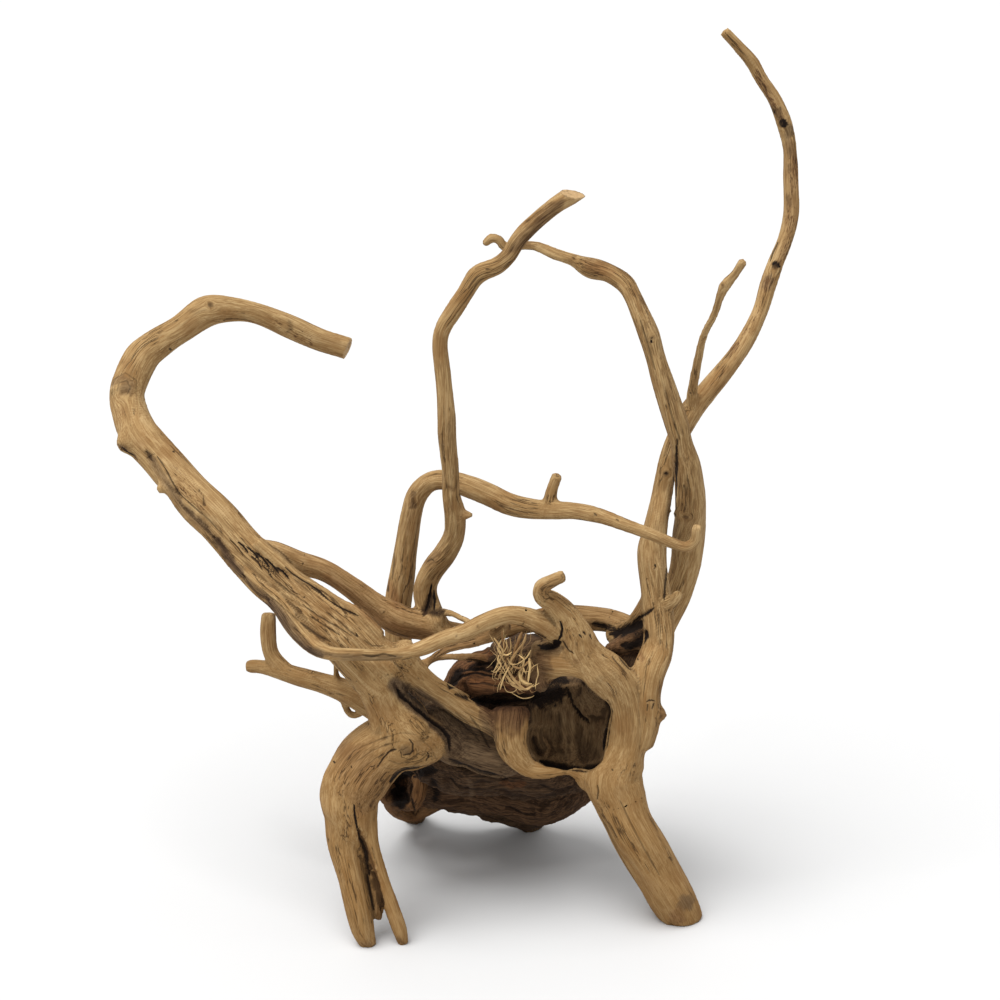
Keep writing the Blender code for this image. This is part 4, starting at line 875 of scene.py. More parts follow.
def seen_at(points):
    """Rows of across and up, in millimetres on the picture plane, for rows of x, y and z."""
    off = points - np.array(PICTURE_MIDDLE)
    growth = 1 + off @ np.array(SIGHT) / SIGHT_DISTANCE
    rise = off @ np.array(SIGHT_UP) / growth + PICTURE_MIDDLE_UP
    return np.stack([off[:, 0] / growth, rise], axis=1) / MM


def middle_line(stations, step=RING_STEP):
    """Rows of x, y, z and radius in metres, on a smooth curve through a strand's stations."""
    knots = []
    for across, up, back, radius in stations:
        place, growth = placed(across, up, back)
        knots.append((*place, radius * MM * growth))
    knots = np.array(knots)
    knots = np.vstack([2 * knots[0] - knots[1], knots, 2 * knots[-1] - knots[-2]])
    rows = []
    for before, start, end, after in zip(knots, knots[1:], knots[2:], knots[3:]):
        steps = max(2, math.ceil(np.linalg.norm((end - start)[:3]) / step))
        for share in np.arange(steps) / steps:
            bend = 2 * before - 5 * start + 4 * end - after
            turn = 3 * start - before - 3 * end + after
            rows.append(start + ((end - before) * share + bend * share**2 + turn * share**3) / 2)
    rows.append(knots[-2])
    return np.array(rows)


def across_strand(way):
    """The two directions across a strand: over the picture plane, and away from the viewer."""
    deep = (SIGHT - way * SIGHT.dot(way)).normalized()
    return way.cross(deep), deep


def add_ring(bm, place, wide, deep, radius):
    """A ring of vertices across a strand, with the lumps, furrows and flutes of weathered wood."""
    ring = []
    for turn in np.arange(SIDES) / SIDES * math.tau:
        outward = wide * math.cos(turn) + deep * math.sin(turn)
        lump = noise.noise((place + outward * radius) / LUMP_SIZE)
        furrow = noise.noise(outward * FURROWS_ROUND + place / FURROW_LENGTH)
        flute = noise.noise(outward * FLUTES_ROUND + place / FLUTE_LENGTH)
        grown = radius * (1 + LUMPS * lump + FURROWS * furrow + FLUTES * flute)
        ring.append(bm.verts.new(place + outward * grown))
    return ring


def join_rings(bm, rings):
    """Faces between each ring and the next, and over both ends."""
    for ring, after in zip(rings, rings[1:]):
        for i in range(len(ring)):
            j = (i + 1) % len(ring)
            bm.faces.new((ring[i], ring[j], after[j], after[i]))
    bm.faces.new(rings[0][::-1])
    bm.faces.new(rings[-1])


def add_strand(bm, stations, flatness=1.0):
    """A closed tube along a strand, with a slightly domed end on each side."""
    rows = middle_line(stations)
    ways = np.gradient(rows[:, :3], axis=0)
    domes = [(0, -END_DOME, END_WIDTH), *((i, 0, 1) for i in range(len(rows)))]
    domes.append((len(rows) - 1, END_DOME, END_WIDTH))
    rings = []
    for index, ahead, width in domes:
        way = Vector(ways[index]).normalized()
        wide, deep = across_strand(way)
        radius = max(rows[index][3], LEAST_RADIUS)
        place = Vector(rows[index][:3]) + way * ahead * radius
        rings.append(add_ring(bm, place, wide, deep * flatness, radius * width))
    join_rings(bm, rings)


def mesh_object(name, bm):
    """An object in the scene that holds the bmesh's shape, facing out."""
    bmesh.ops.recalc_face_normals(bm, faces=bm.faces)
    mesh = bpy.data.meshes.new(name)
    bm.to_mesh(mesh)
    bm.free()
    obj = bpy.data.objects.new(name, mesh)
    bpy.context.scene.collection.objects.link(obj)
    return obj


def apply_modifiers(obj):
    """Makes the modifiers' result the object's own mesh."""
    graph = bpy.context.evaluated_depsgraph_get()
    mesh = bpy.data.meshes.new_from_object(obj.evaluated_get(graph))
    obj.modifiers.clear()
    obj.data = mesh


def fuse(obj):
    """Makes all that overlaps in the object one even skin."""
    skin = obj.modifiers.new("fuse", "REMESH")
    skin.mode = "VOXEL"
    skin.voxel_size = FUSE_VOXEL
    apply_modifiers(obj)


def add_hollow(bm):
    """The hollow behind the rim, which follows its outline along the line of sight."""
    middle = np.mean(HOLLOW_RIM, axis=0)
    rings = []
    for back, share in HOLLOW_RINGS:
        ring = middle + (np.array(HOLLOW_RIM) - middle) * share
        rings.append([bm.verts.new(placed(across, up, back)[0]) for across, up in ring.tolist()])
    join_rings(bm, rings)


def add_pocket(bm, across, up, back, *half_sizes):
    """An uneven egg-shaped hollow, lying along the line of sight."""
    made = bmesh.ops.create_icosphere(bm, subdivisions=POCKET_DETAIL, radius=1)
    place = placed(across, up, back)[0]
    turned = Matrix.Translation(place) @ Matrix.Rotation(-SIGHT_TILT, 4, "X")
    width, height, depth = (size * MM for size in half_sizes)
    for vertex in made["verts"]:
        uneven = 1 + POCKET_LUMPS * noise.noise(vertex.co * POCKET_LUMPS_ROUND)
        x, y, z = vertex.co * uneven
        vertex.co = turned @ Vector((x * width, y * depth, z * height))


def add_ground(bm):
    """All that lies below the floor, with room round the wood."""
    below = Matrix.Translation((0, 0, -GROUND_DEPTH / 2))
    size = Matrix.Diagonal((GROUND_WIDTH, GROUND_WIDTH, GROUND_DEPTH, 1))
    bmesh.ops.create_cube(bm, size=1, matrix=below @ size)


def carve(wood, add_shape, *sizes):
    """Takes a shape from the wood."""
    bm = bmesh.new()
    add_shape(bm, *sizes)
    cutter = mesh_object("cutter", bm)
    cut = wood.modifiers.new("cut", "BOOLEAN")
    cut.operation = "DIFFERENCE"
    cut.object = cutter
    apply_modifiers(wood)
    bpy.data.objects.remove(cutter)


def rough_wood():
    """All strands as one body with its hollows, flat below."""
    bm = bmesh.new()
    for strand, stations in STRANDS.items():
        if strand not in FIBRE_STRANDS:
            add_strand(bm, stations, FLATNESS.get(strand, 1.0))
    wood = mesh_object("wood", bm)
    fuse(wood)
    for stations in GROOVES.values():
        carve(wood, add_strand, stations)
    carve(wood, add_hollow)
    for pocket in POCKETS:
        carve(wood, add_pocket, *pocket)
    carve(wood, add_ground)
    fuse(wood)
    return wood


def rows_of(items, name, width=3):
    """An attribute of all items of a mesh, as rows."""
    kind = np.int32 if name in ("vertices", "vertex_index") else np.float32
    flat = np.empty(len(items) * width, kind)
    items.foreach_get(name, flat)
    return flat.reshape(-1, width) if width > 1 else flat


def noise_at(points):
    """Smooth noise between -1 and 1 at rows of three coordinates."""
    return np.array([noise.noise(point) for point in points.tolist()])


def unit(rows):
    """Rows made one long."""
    return rows / np.maximum(np.linalg.norm(rows, axis=1, keepdims=True), LEAST_LENGTH)


def eased(values, low, high):
    """0 below low, 1 above high and a smooth rise between."""
    share = np.clip((values - low) / (high - low), 0, 1)
    return share * share * (3 - 2 * share)


class Skin:
    """The wood's skin while it is worked on: its points and normals, and what is painted on them."""

    def __init__(self, wood):
        self.mesh = wood.data
        self.points = rows_of(self.mesh.vertices, "co").astype(float)
        self.edges = rows_of(self.mesh.edges, "vertices", 2)
        self.faces = rows_of(self.mesh.loops, "vertex_index", 1).reshape(-1, 4)
        ends = self.edges.ravel()
        self.counts = np.maximum(np.bincount(ends, minlength=len(self.points)), 1)
        self.coats = {}
        self.settle()

    def settle(self):
        """Works out the normals again after points have moved."""
        self.mesh.vertices.foreach_set("co", self.points.astype(np.float32).ravel())
        self.mesh.update()
        self.normals = rows_of(self.mesh.vertices, "normal").astype(float)
        sight = unit(np.array(VIEWPOINT) - self.points)
        self.facing = np.sum(sight * self.normals, axis=1)

    def around(self, values):
        """The mean of each point's neighbours."""
        first, second = self.edges.T
        columns = []
        for column in values.reshape(len(values), -1).T:
            total = np.bincount(first, column[second], len(values))
            columns.append((total + np.bincount(second, column[first], len(values))) / self.counts)
        return np.stack(columns, axis=1).reshape(values.shape)

    def smoothed(self, values, rounds):
        """Values evened out with their neighbours'."""
        for _ in range(rounds):
            values = (values + self.around(values)) / 2
        return values

    def of_strands(self, names):
        """Whether each point belongs to one of the strands."""
        return np.isin(self.strand, [self.names.index(name) for name in names])

    def raise_by(self, height):
        """Moves the points out along their normals, in metres."""
        self.points += self.normals * height[:, None]
        self.settle()

    def lay(self, coat, strength, near=slice(None)):
        """Lays a coat of paint on some points, or all, where it is stronger than what is there."""
        self.paint[coat][near] = np.maximum(self.paint[coat][near], strength)


def even_out(skin):
    """Takes the steps of the voxels off the skin, and keeps its width."""
    for _ in range(EVENING_ROUNDS):
        for strength in (EVENING, -EVENING):
            skin.points += (skin.around(skin.points) - skin.points) * strength
    skin.settle()


def fill_creases(skin):
    """Rounds the creases where strands meet, as wood grows over them, and leaves ridges alone."""
    together = skin.of_strands(GREW_TOGETHER)
    filled = np.where(together, FILLED_TOGETHER, FILLED_ELSEWHERE)
    filled = skin.smoothed(filled, SOFT_FILLING)
    for number in range(1, FILLET_ROUNDS + 1):
        step = skin.around(skin.points) - skin.points
        hollow = np.sum(step * skin.normals, axis=1)
        skin.points += step * (eased(hollow, *CREASE) * filled)[:, None]
        if number % FILLET_SETTLES == 0:
            skin.settle()


class Grain:
    """The way the grain runs: samples along every strand, each with its own frame."""

    def __init__(self):
        columns = {"place": [], "way": [], "wide": [], "deep": [], "radius": [], "run": [], "strand": []}
        strands = {name: way for name, way in STRANDS.items() if name not in FIBRE_STRANDS}
        strands.update(HOLLOW_GRAIN)
        self.names = list(strands)
        for number, strand in enumerate(self.names):
            rows = middle_line(strands[strand], GRAIN_STEP)
            ways = unit(np.gradient(rows[:, :3], axis=0))
            run = np.cumsum([0, *np.linalg.norm(np.diff(rows[:, :3], axis=0), axis=1)])
            twist = TWISTS.get(strand, 0)
            for row, way, length in zip(rows, ways, run):
                wide, deep = across_strand(Vector(way))
                turn = Matrix.Rotation(twist * length, 3, Vector(way))
                for name, value in (("place", row[:3]), ("way", way), ("wide", turn @ wide),
                                    ("deep", turn @ deep), ("radius", row[3]),
                                    ("run", length), ("strand", number)):
                    columns[name].append(value)
        for name, values in columns.items():
            setattr(self, name, np.array(values))
        self.in_wall = self.strand >= len(strands) - len(HOLLOW_GRAIN)
        self.sets = self.shared_out()

    def shared_out(self):
        """Each strand's grain set. Strands that touch are kept apart as far as that goes."""
        apart = np.linalg.norm(self.place[:, None] - self.place[None], axis=2)
        touching = apart < self.radius[:, None] + self.radius[None] + GRAIN_MERGE
        strands = len(self.names)
        contact = np.zeros((strands, strands))
        np.add.at(contact, (self.strand[:, None], self.strand[None]), touching)
        sets = np.full(strands, -1)
        for strand in np.argsort(-contact.sum(axis=1)):
            clashes = [contact[strand, sets == number].sum() for number in range(GRAIN_SETS)]
            sets[strand] = int(np.argmin(clashes))
        return sets

    def nearest(self, points, members):
        """For each point, how near the surface of the nearest strand is, and that strand's sample."""
        tree = KDTree(len(members))
        for member in members:
            tree.insert(self.place[member], int(member))
        tree.balance()
        radius = self.radius.tolist()
        found = []
        for point in points.tolist():
            near = tree.find_n(point, GRAIN_NEAREST)
            found.append(min((gap - radius[i], i) for _, i, gap in near))
        gaps, samples = np.array(found).T
        return gaps, samples.astype(int)


def turn_of(rows):
    """The angle of each row on the picture plane."""
    return np.arctan2(rows[:, 1], rows[:, 0])


def rim_turns(middle):
    """The angles of the hollow's outline from its middle, in order, and how far off it is at each."""
    off = np.array(HOLLOW_RIM) - middle
    turns, reach = turn_of(off), np.linalg.norm(off, axis=1)
    order = np.argsort(turns)
    turns, reach = turns[order], reach[order]
    return (np.concatenate([turns[-1:] - math.tau, turns, turns[:1] + math.tau]),
            np.concatenate([reach[-1:], reach, reach[:1]]))


def in_hollow(skin):
    """Whether each point is inside the main hollow."""
    back = skin.points[:, 1] / MM
    middle = np.mean(HOLLOW_RIM, axis=0)
    reach = np.linalg.norm(skin.seen - middle, axis=1)
    rim_reach = np.interp(turn_of(skin.seen - middle), *rim_turns(middle))
    return (reach < rim_reach + HOLLOW_MARGIN) & (back > HOLLOW_FRONT) & (back < HOLLOW_BACK)


def find_strands(skin, grain):
    """Finds for each point of the skin the strands that it belongs to, and the way of its grain."""
    found = []
    for number in range(GRAIN_SETS):
        members = (grain.sets[grain.strand] == number) & ~grain.in_wall
        found.append(grain.nearest(skin.points, np.flatnonzero(members)))
    gaps = np.array([gap for gap, _ in found])
    skin.samples = np.array([sample for _, sample in found])
    shares = np.exp((gaps.min(axis=0) - gaps) / GRAIN_MERGE)
    skin.shares = shares / shares.sum(axis=0)
    skin.best = skin.samples[gaps.argmin(axis=0), np.arange(len(skin.points))]
    skin.strand = grain.strand[skin.best]
    skin.names = grain.names
    skin.seen = seen_at(skin.points)
    inside = np.flatnonzero(in_hollow(skin))
    skin.best[inside] = grain.nearest(skin.points[inside], np.flatnonzero(grain.in_wall))[1]
    skin.samples[:, inside] = skin.best[inside]
    main_way = grain.way[skin.best]
    skin.way = np.zeros_like(main_way)
    for sample, share in zip(skin.samples, skin.shares):
        way = grain.way[sample]
        skin.way += way * (np.sign(np.sum(way * main_way, axis=1)) * share)[:, None]
    skin.swirl = np.zeros_like(skin.points)


def start_paint(skin, grain):
    """Fresh coats of what is painted and raised on the skin."""
    size = len(skin.points)
    skin.paint = {coat: np.zeros(size) for coat in (*PAINT["wear_and_shade"], "split")}
    for column, coat in enumerate(PAINT["tone"]):
        tones = np.array([TONES.get(name, (0, 0, 0))[column] for name in grain.names])
        tone = np.sum(tones[grain.strand[skin.samples]] * skin.shares, axis=0)
        skin.paint[coat] = skin.smoothed(tone, SOFT_TONES)
    skin.height = np.zeros(size)
    skin.crack_gaps = [np.full(size, np.inf) for _ in range(CRACK_SETS)]
    skin.cracks = [np.tile(NO_CRACK, (size, 1)) for _ in range(CRACK_SETS)]


def floor_grooves(skin):
    """Grey, fibrous wood in the grooves, darkened with painted shade."""
    for stations in GROOVES.values():
        inside = np.zeros(len(skin.points))
        for *place, radius in middle_line(stations).tolist():
            gap = np.linalg.norm(skin.points - place, axis=1)
            inside = np.maximum(inside, 1 - eased(gap / radius, *GROOVE_FADES))
        inside = skin.smoothed(inside, SOFT_GROOVES)
        for coat, strength in GROOVE_PAINT.items():
            skin.lay(coat, inside * strength)


def front_point(skin, across, up):
    """The number of the skin's point that is seen at a place on the picture plane."""
    apart = np.linalg.norm(skin.seen - (across, up), axis=1)
    near = apart < SEEN_WITHIN
    if not near.any():
        return int(apart.argmin())
    near = np.flatnonzero(near & (apart < apart[near].min() + SEEN_WITHIN / 2))
    return int(near[(skin.points[near] @ np.array(SIGHT)).argmin()])


def flow_round(skin, centre, radius):
    """Turns the grain aside round a knot, as a stream goes round a stone."""
    off = skin.points - skin.points[centre]
    near = np.flatnonzero(np.linalg.norm(off, axis=1) < KNOT_REACH * radius)
    way = unit(skin.way[near])
    side = unit(np.cross(skin.normals[centre], way))
    ahead, beside = np.sum(off[near] * way, axis=1), np.sum(off[near] * side, axis=1)
    # The least square only keeps the division from zero
    square = np.maximum(ahead**2 + beside**2, (radius / 3) ** 2)
    pull = np.minimum(radius**2 / square, 1)
    turn = 2 * np.arctan2(beside, ahead)
    skin.way[near] = way * (1 - pull * np.cos(turn))[:, None] - side * (pull * np.sin(turn))[:, None]
    skin.swirl[near] -= side * (beside * pull)[:, None]


def lay_grain(skin, grain):
    """Gives each point its coordinates in the grain, in millimetres: two across it and one along."""
    points = skin.points + skin.swirl
    for number, sample in enumerate(skin.samples):
        off = points - grain.place[sample]
        run = grain.run[sample] + np.sum(off * grain.way[sample], axis=1)
        beside = np.sum(off * grain.wide[sample], axis=1)
        deep = np.sum(off * grain.deep[sample], axis=1)
        along = run + GRAIN_APART * grain.strand[sample]
        skin.coats[f"grain_{number}"] = np.stack([beside, deep, along], axis=1) / MM
    skin.coats["grain_share"] = skin.shares.T


def grain_steps(skin):
    """For each point, the points one step ahead and behind along its grain."""
    flat = skin.way - skin.normals * np.sum(skin.way * skin.normals, axis=1)[:, None]
    flat = unit(flat) * STREAK_STEP
    tree = KDTree(len(skin.points))
    for number, point in enumerate(skin.points.tolist()):
        tree.insert(point, number)
    tree.balance()
    steps = []
    for side in (1, -1):
        steps.append(np.array([tree.find(point)[1] for point in (skin.points + side * flat).tolist()]))
    return steps


def break_up(skin):
    """Ledges and hollows in the rotten wood."""
    age = skin.paint["age"]
    rotten = np.flatnonzero(age > LEDGE_AGE[0])
    places = skin.points[rotten] / LEDGE_SIZE
    ledges = 1 - 2 * np.abs(noise_at(places + SEED))
    ledges -= SMALL_LEDGES * np.abs(noise_at(places * SMALL_LEDGES_FINER))
    height = np.zeros(len(skin.points))
    height[rotten] = ledges * eased(age[rotten], *LEDGE_AGE) * LEDGE_HEIGHT
    skin.raise_by(height)


def streaks(values, ahead, behind, reach):
    """Values drawn out along the grain into streaks, about -1 to 1."""
    total, front, back = values.copy(), values, values
    for _ in range(reach):
        front, back = front[ahead], back[behind]
        total += front + back
    total -= total.mean()
    return total / (2 * total.std())


def furrow(skin, ahead, behind):
    """Raises the grain: broad furrows along the limbs, and finer ridges in them."""
    random = np.random.default_rng(SEED)
    rough = 1 + ROTTEN_RELIEF * skin.paint["age"]
    for width, reach, height in GRAIN_RELIEF:
        seeds = skin.smoothed(random.standard_normal(len(skin.points)), width)
        lines = streaks(seeds, ahead, behind, reach)
        skin.raise_by(np.clip(lines, -STREAK_MOST, STREAK_MOST) * rough * height * MM)
    skin.coats["streak"] = np.clip(lines, -1, 1)


def knot(skin, across, up, radius, height, pit):
    """A knot: a swelling with a darker eye, round which the grain flows."""
    centre = front_point(skin, across, up)
    off = (skin.points - skin.points[centre]) / (radius * MM)
    gap = np.linalg.norm(off, axis=1)
    swelling = np.exp(-gap**2) * height
    near = np.flatnonzero(gap < KNOT_REACH)
    along = np.sum(off[near] * skin.way[centre], axis=1)
    gap[near] = np.sqrt(np.maximum(gap[near] ** 2 - KNOT_LENGTH * along**2, 0))
    gap[near] *= 1 + KNOT_RAGGED * noise_at(skin.points[near] / (radius * MM) * KNOT_RAGGED_ROUND)
    eye = 1 - eased(gap, *KNOT_EYE)
    stain = 1 - eased(gap, *KNOT_STAIN)
    skin.raise_by((swelling - eye * pit) * MM)
    skin.lay("dark", eye * min(KNOT_DARKEST, pit))
    skin.lay("age", stain * KNOT_STAIN_AGE)


def near_line(skin, line, reach, within, facing=FACING):
    """The numbers of the points about a line on the picture plane, on the side that faces the viewer."""
    back = skin.points[:, 1] / MM
    near = (skin.seen > line.min(axis=0) - reach) & (skin.seen < line.max(axis=0) + reach)
    near = near.all(axis=1) & (skin.facing > facing) & (back > within[0]) & (back < within[1])
    return np.flatnonzero(near)


def line_gaps(points, line):
    """How far points lie from a line on the picture plane, how far along it, and how far past its ends.

    The first is below 0 on one side of the line, and the second runs from 0 to 1.
    """
    legs = np.diff(line, axis=0)
    lengths = np.linalg.norm(legs, axis=1)
    starts = np.cumsum([0, *lengths])
    gap, along, past = np.full(len(points), np.inf), np.zeros(len(points)), np.zeros(len(points))
    for start, leg, length, run in zip(line, legs, lengths, starts):
        off = points - start
        beyond = off @ leg / length**2
        share = np.clip(beyond, 0, 1)
        apart = np.linalg.norm(off - share[:, None] * leg, axis=1)
        side = np.where(leg[0] * off[:, 1] < leg[1] * off[:, 0], -1, 1)
        nearer = apart < np.abs(gap)
        gap[nearer], along[nearer] = (apart * side)[nearer], (run + share * length)[nearer]
        past[nearer] = (np.abs(beyond - share) * length)[nearer]
    along /= starts[-1]
    return gap, along, np.where((along < LINE_END) | (along > 1 - LINE_END), past, 0)


def tapered(along, rise, least):
    """How wide a line is along its run, as a share: the least at its ends, and 1 past the rise."""
    return np.minimum(1, rise * np.minimum(along, 1 - along) + least)


def mark(skin, width, depth, coats, within, line):
    """A groove or ridge along a line on the picture plane, with stains and painted shade laid along it."""
    line = np.array(line, float)
    facing = FACING if width < WIDE_MARK else FACING_WIDE
    near = near_line(skin, line, 2 * width, within, facing)
    gap, along, _ = line_gaps(skin.seen[near], line)
    ragged = 1 + MARK_RAGGED * noise_at(skin.points[near] / MARK_RAGGED_SIZE)
    share = np.maximum(0, 1 - (gap / (width * ragged * tapered(along, *MARK_TAPER))) ** 2)
    skin.height[near] -= share**MARK_GROOVE_FADES * depth
    for coat, strength in coats.items():
        skin.lay(coat, share**MARK_PAINT_FADES * strength, near)


def crack(skin, number, width, depth, dark, within, line):
    """A fine crack along a line on the picture plane. The skin keeps how far off it each point
    lies, so that the finish can draw it finer than the mesh is."""
    line = np.array(line, float)
    near = near_line(skin, line, CRACK_REACH, within)
    gap, along, past = line_gaps(skin.seen[near], line)
    taper = tapered(along, *CRACK_TAPER)
    share = np.maximum(0, 1 - (gap / max(width, CRACK_GROOVE)) ** 2) * taper
    skin.height[near] -= share * depth * CRACK_DEPTH
    known, coat = skin.crack_gaps[number % CRACK_SETS], skin.cracks[number % CRACK_SETS]
    nearer = (np.abs(gap) < CRACK_REACH) & (np.abs(gap) < known[near])
    near, gap = near[nearer], gap[nearer]
    known[near] = np.abs(gap)
    coat[near] = np.stack([gap, width * taper[nearer] - past[nearer], np.full(len(gap), dark)], axis=1)


def saw_ends(skin):
    """Saws the ends of limbs off flat: what lies past the last station or the cut slides along the
    limb, onto the cut."""
    for strand, tilt in SAWN_ENDS.items():
        before, end = (Vector(placed(*station[:3])[0]) for station in STRANDS[strand][-2:])
        way = (end - before).normalized()
        facing = np.array((way + Vector(tilt)).normalized())
        end, way = np.array(end), np.array(way)
        radius = STRANDS[strand][-1][3] * MM
        off = skin.points - end
        over = off @ facing / (way @ facing)
        near = (np.linalg.norm(off, axis=1) < SAWN_REACH * radius) & ((over > 0) | (off @ way > 0))
        skin.points[near] -= over[near, None] * way
        sawn = np.abs((skin.points - end) @ facing) < SAWN_NEAR
        sawn &= np.linalg.norm(off, axis=1) < SAWN_WIDTH * radius
        skin.lay("sawn", sawn)
    skin.settle()


def shaped_skin():
    """The branch's skin in its last shape, with its grain laid and all its paint on it."""
    skin = Skin(rough_wood())
    even_out(skin)
    grain = Grain()
    find_strands(skin, grain)
    fill_creases(skin)
    skin.seen = seen_at(skin.points)
    start_paint(skin, grain)
    floor_grooves(skin)
    for across, up, radius, _, _ in KNOTS:
        flow_round(skin, front_point(skin, across, up), radius * MM)
    lay_grain(skin, grain)
    ahead, behind = grain_steps(skin)
    break_up(skin)
    furrow(skin, ahead, behind)
    for values in KNOTS:
        knot(skin, *values)
    for values in MARKS:
        mark(skin, *values)
    for number, values in enumerate(CRACKS):
        crack(skin, number, *values)
    skin.raise_by(skin.height * MM)
    saw_ends(skin)
    skin.points[:, 2] = np.maximum(skin.points[:, 2], 0)
    skin.settle()
    return skin


def find_crevices(skin):
    """How deep each point lies in a crevice, and how far it stands out, from -1 to 1."""
    total = np.zeros(len(skin.points))
    for rounds, depth in CREVICES:
        off = skin.smoothed(skin.points, rounds) - skin.points
        total += np.sum(off * skin.normals, axis=1) / (depth * MM)
    return np.clip(total / len(CREVICES), -1, 1)


def find_edges(skin):
    """How sharp an edge each point lies on, from 0 to 1."""
    off = skin.points - skin.smoothed(skin.points, SOFT_EDGES)
    return eased(np.sum(off * skin.normals, axis=1) / MM, *LIGHTENED_EDGE_HEIGHTS)


def gather_coats(skin):
    """Puts the paint, the cracks and the relief of the skin among the coats that the finish reads."""
    skin.coats["crevice"] = find_crevices(skin)
    skin.coats["edge"] = find_edges(skin)
    skin.coats["split"] = skin.paint["split"]
    for number, cracks in enumerate(skin.cracks):
        skin.coats[f"crack_{number}"] = cracks
    for name, coats in PAINT.items():
        skin.coats[name] = np.stack([skin.paint[coat] for coat in coats], axis=1)
    skin.coats["place"] = skin.points / MM


def nearest_nodes(skin):
    """The solids' names, and for each face of the skin the number of the one that it belongs to."""
    names = [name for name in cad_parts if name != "fibre_clump"]
    points, triangles, owners = [], [], []
    for number, name in enumerate(names):
        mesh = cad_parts[name].data
        first = len(points)
        points.extend(vertex.co.copy() for vertex in mesh.vertices)
        for face in mesh.polygons:
            triangles.append([first + index for index in face.vertices])
            owners.append(number)
    tree = BVHTree.FromPolygons(points, triangles)
    nearest = np.array([owners[tree.find_nearest(point)[2]] for point in skin.points.tolist()])
    votes = skin.smoothed(np.eye(len(names))[nearest], SOFT_OWNERS)
    return names, votes[skin.faces].sum(axis=1).argmax(axis=1)


def rims(faces):
    """The open rims of a patch of faces, each as a list of point numbers that a cap can fill."""
    ends = np.stack([faces, np.roll(faces, -1, axis=1)], axis=2).reshape(-1, 2)
    both = set(map(tuple, ends.tolist()))
    onward = {end: start for start, end in both if (end, start) not in both}
    caps = []
    while onward:
        first = point = next(iter(onward))
        cap = []
        while point in onward:
            cap.append(point)
            point = onward.pop(point)
        if point == first and len(cap) > 2:
            caps.append(cap)
    return caps


def add_coat(mesh, name, values):
    """Keeps a number or three numbers for each point of a mesh, under a name."""
    wide = values.ndim > 1
    coat = mesh.attributes.new(name, "FLOAT_VECTOR" if wide else "FLOAT", "POINT")
    coat.data.foreach_set("vector" if wide else "value", values.astype(np.float32).ravel())


def add_wood(skin, node, faces, finish):
    """The part of the skin that stands for a solid, closed where the next one joins it."""
    used, corners = np.unique(faces, return_inverse=True)
    corners = corners.reshape(faces.shape)
    mesh = bpy.data.meshes.new(node + "_wood")
    mesh.from_pydata(skin.points[used].tolist(), [], corners.tolist() + rims(corners))
    mesh.polygons.foreach_set("use_smooth", np.ones(len(mesh.polygons), bool))
    mesh.normals_split_custom_set_from_vertices(skin.normals[used].tolist())
    for name, values in skin.coats.items():
        add_coat(mesh, name, values[used])
    mesh.materials.append(finish)
    wood = bpy.data.objects.new(node + "_wood", mesh)
    bpy.context.scene.collection.objects.link(wood)
    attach(wood, "root")
    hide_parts(node)


class Value:
    """A number that changes over a surface. Sums and products of values add Math nodes."""

    def __init__(self, finish, socket):
        self.finish = finish
        self.socket = socket

    def math(self, operation, *numbers):
        settings = {"operation": operation}
        return self.finish.node("ShaderNodeMath", settings, dict(enumerate(numbers)))

    def __add__(self, other):
        return self.math("ADD", self, other)

    def __mul__(self, other):
        return self.math("MULTIPLY", self, other)

    def __sub__(self, other):
        return self.math("SUBTRACT", self, other)

    def __rsub__(self, other):
        return self.math("SUBTRACT", other, self)

    __radd__ = __add__
    __rmul__ = __mul__

    def clear_of(self, low, high):
        """0 below low, 1 above high and a smooth rise between."""
        settings = {"interpolation_type": "SMOOTHSTEP"}
        return self.finish.node("ShaderNodeMapRange", settings, {0: self, 1: low, 2: high})

    def largest(self, other):
        return self.math("MAXIMUM", self, other)

    def size(self):
        return self.math("ABSOLUTE", self)


def tint(colour):
    """A colour as a screen shows it, 0 to 255, in the linear values that a shader takes."""
    shares = (part / 255 for part in colour)
    return (*(s / 12.92 if s < 0.04 else ((s + 0.055) / 1.055) ** 2.4 for s in shares), 1)


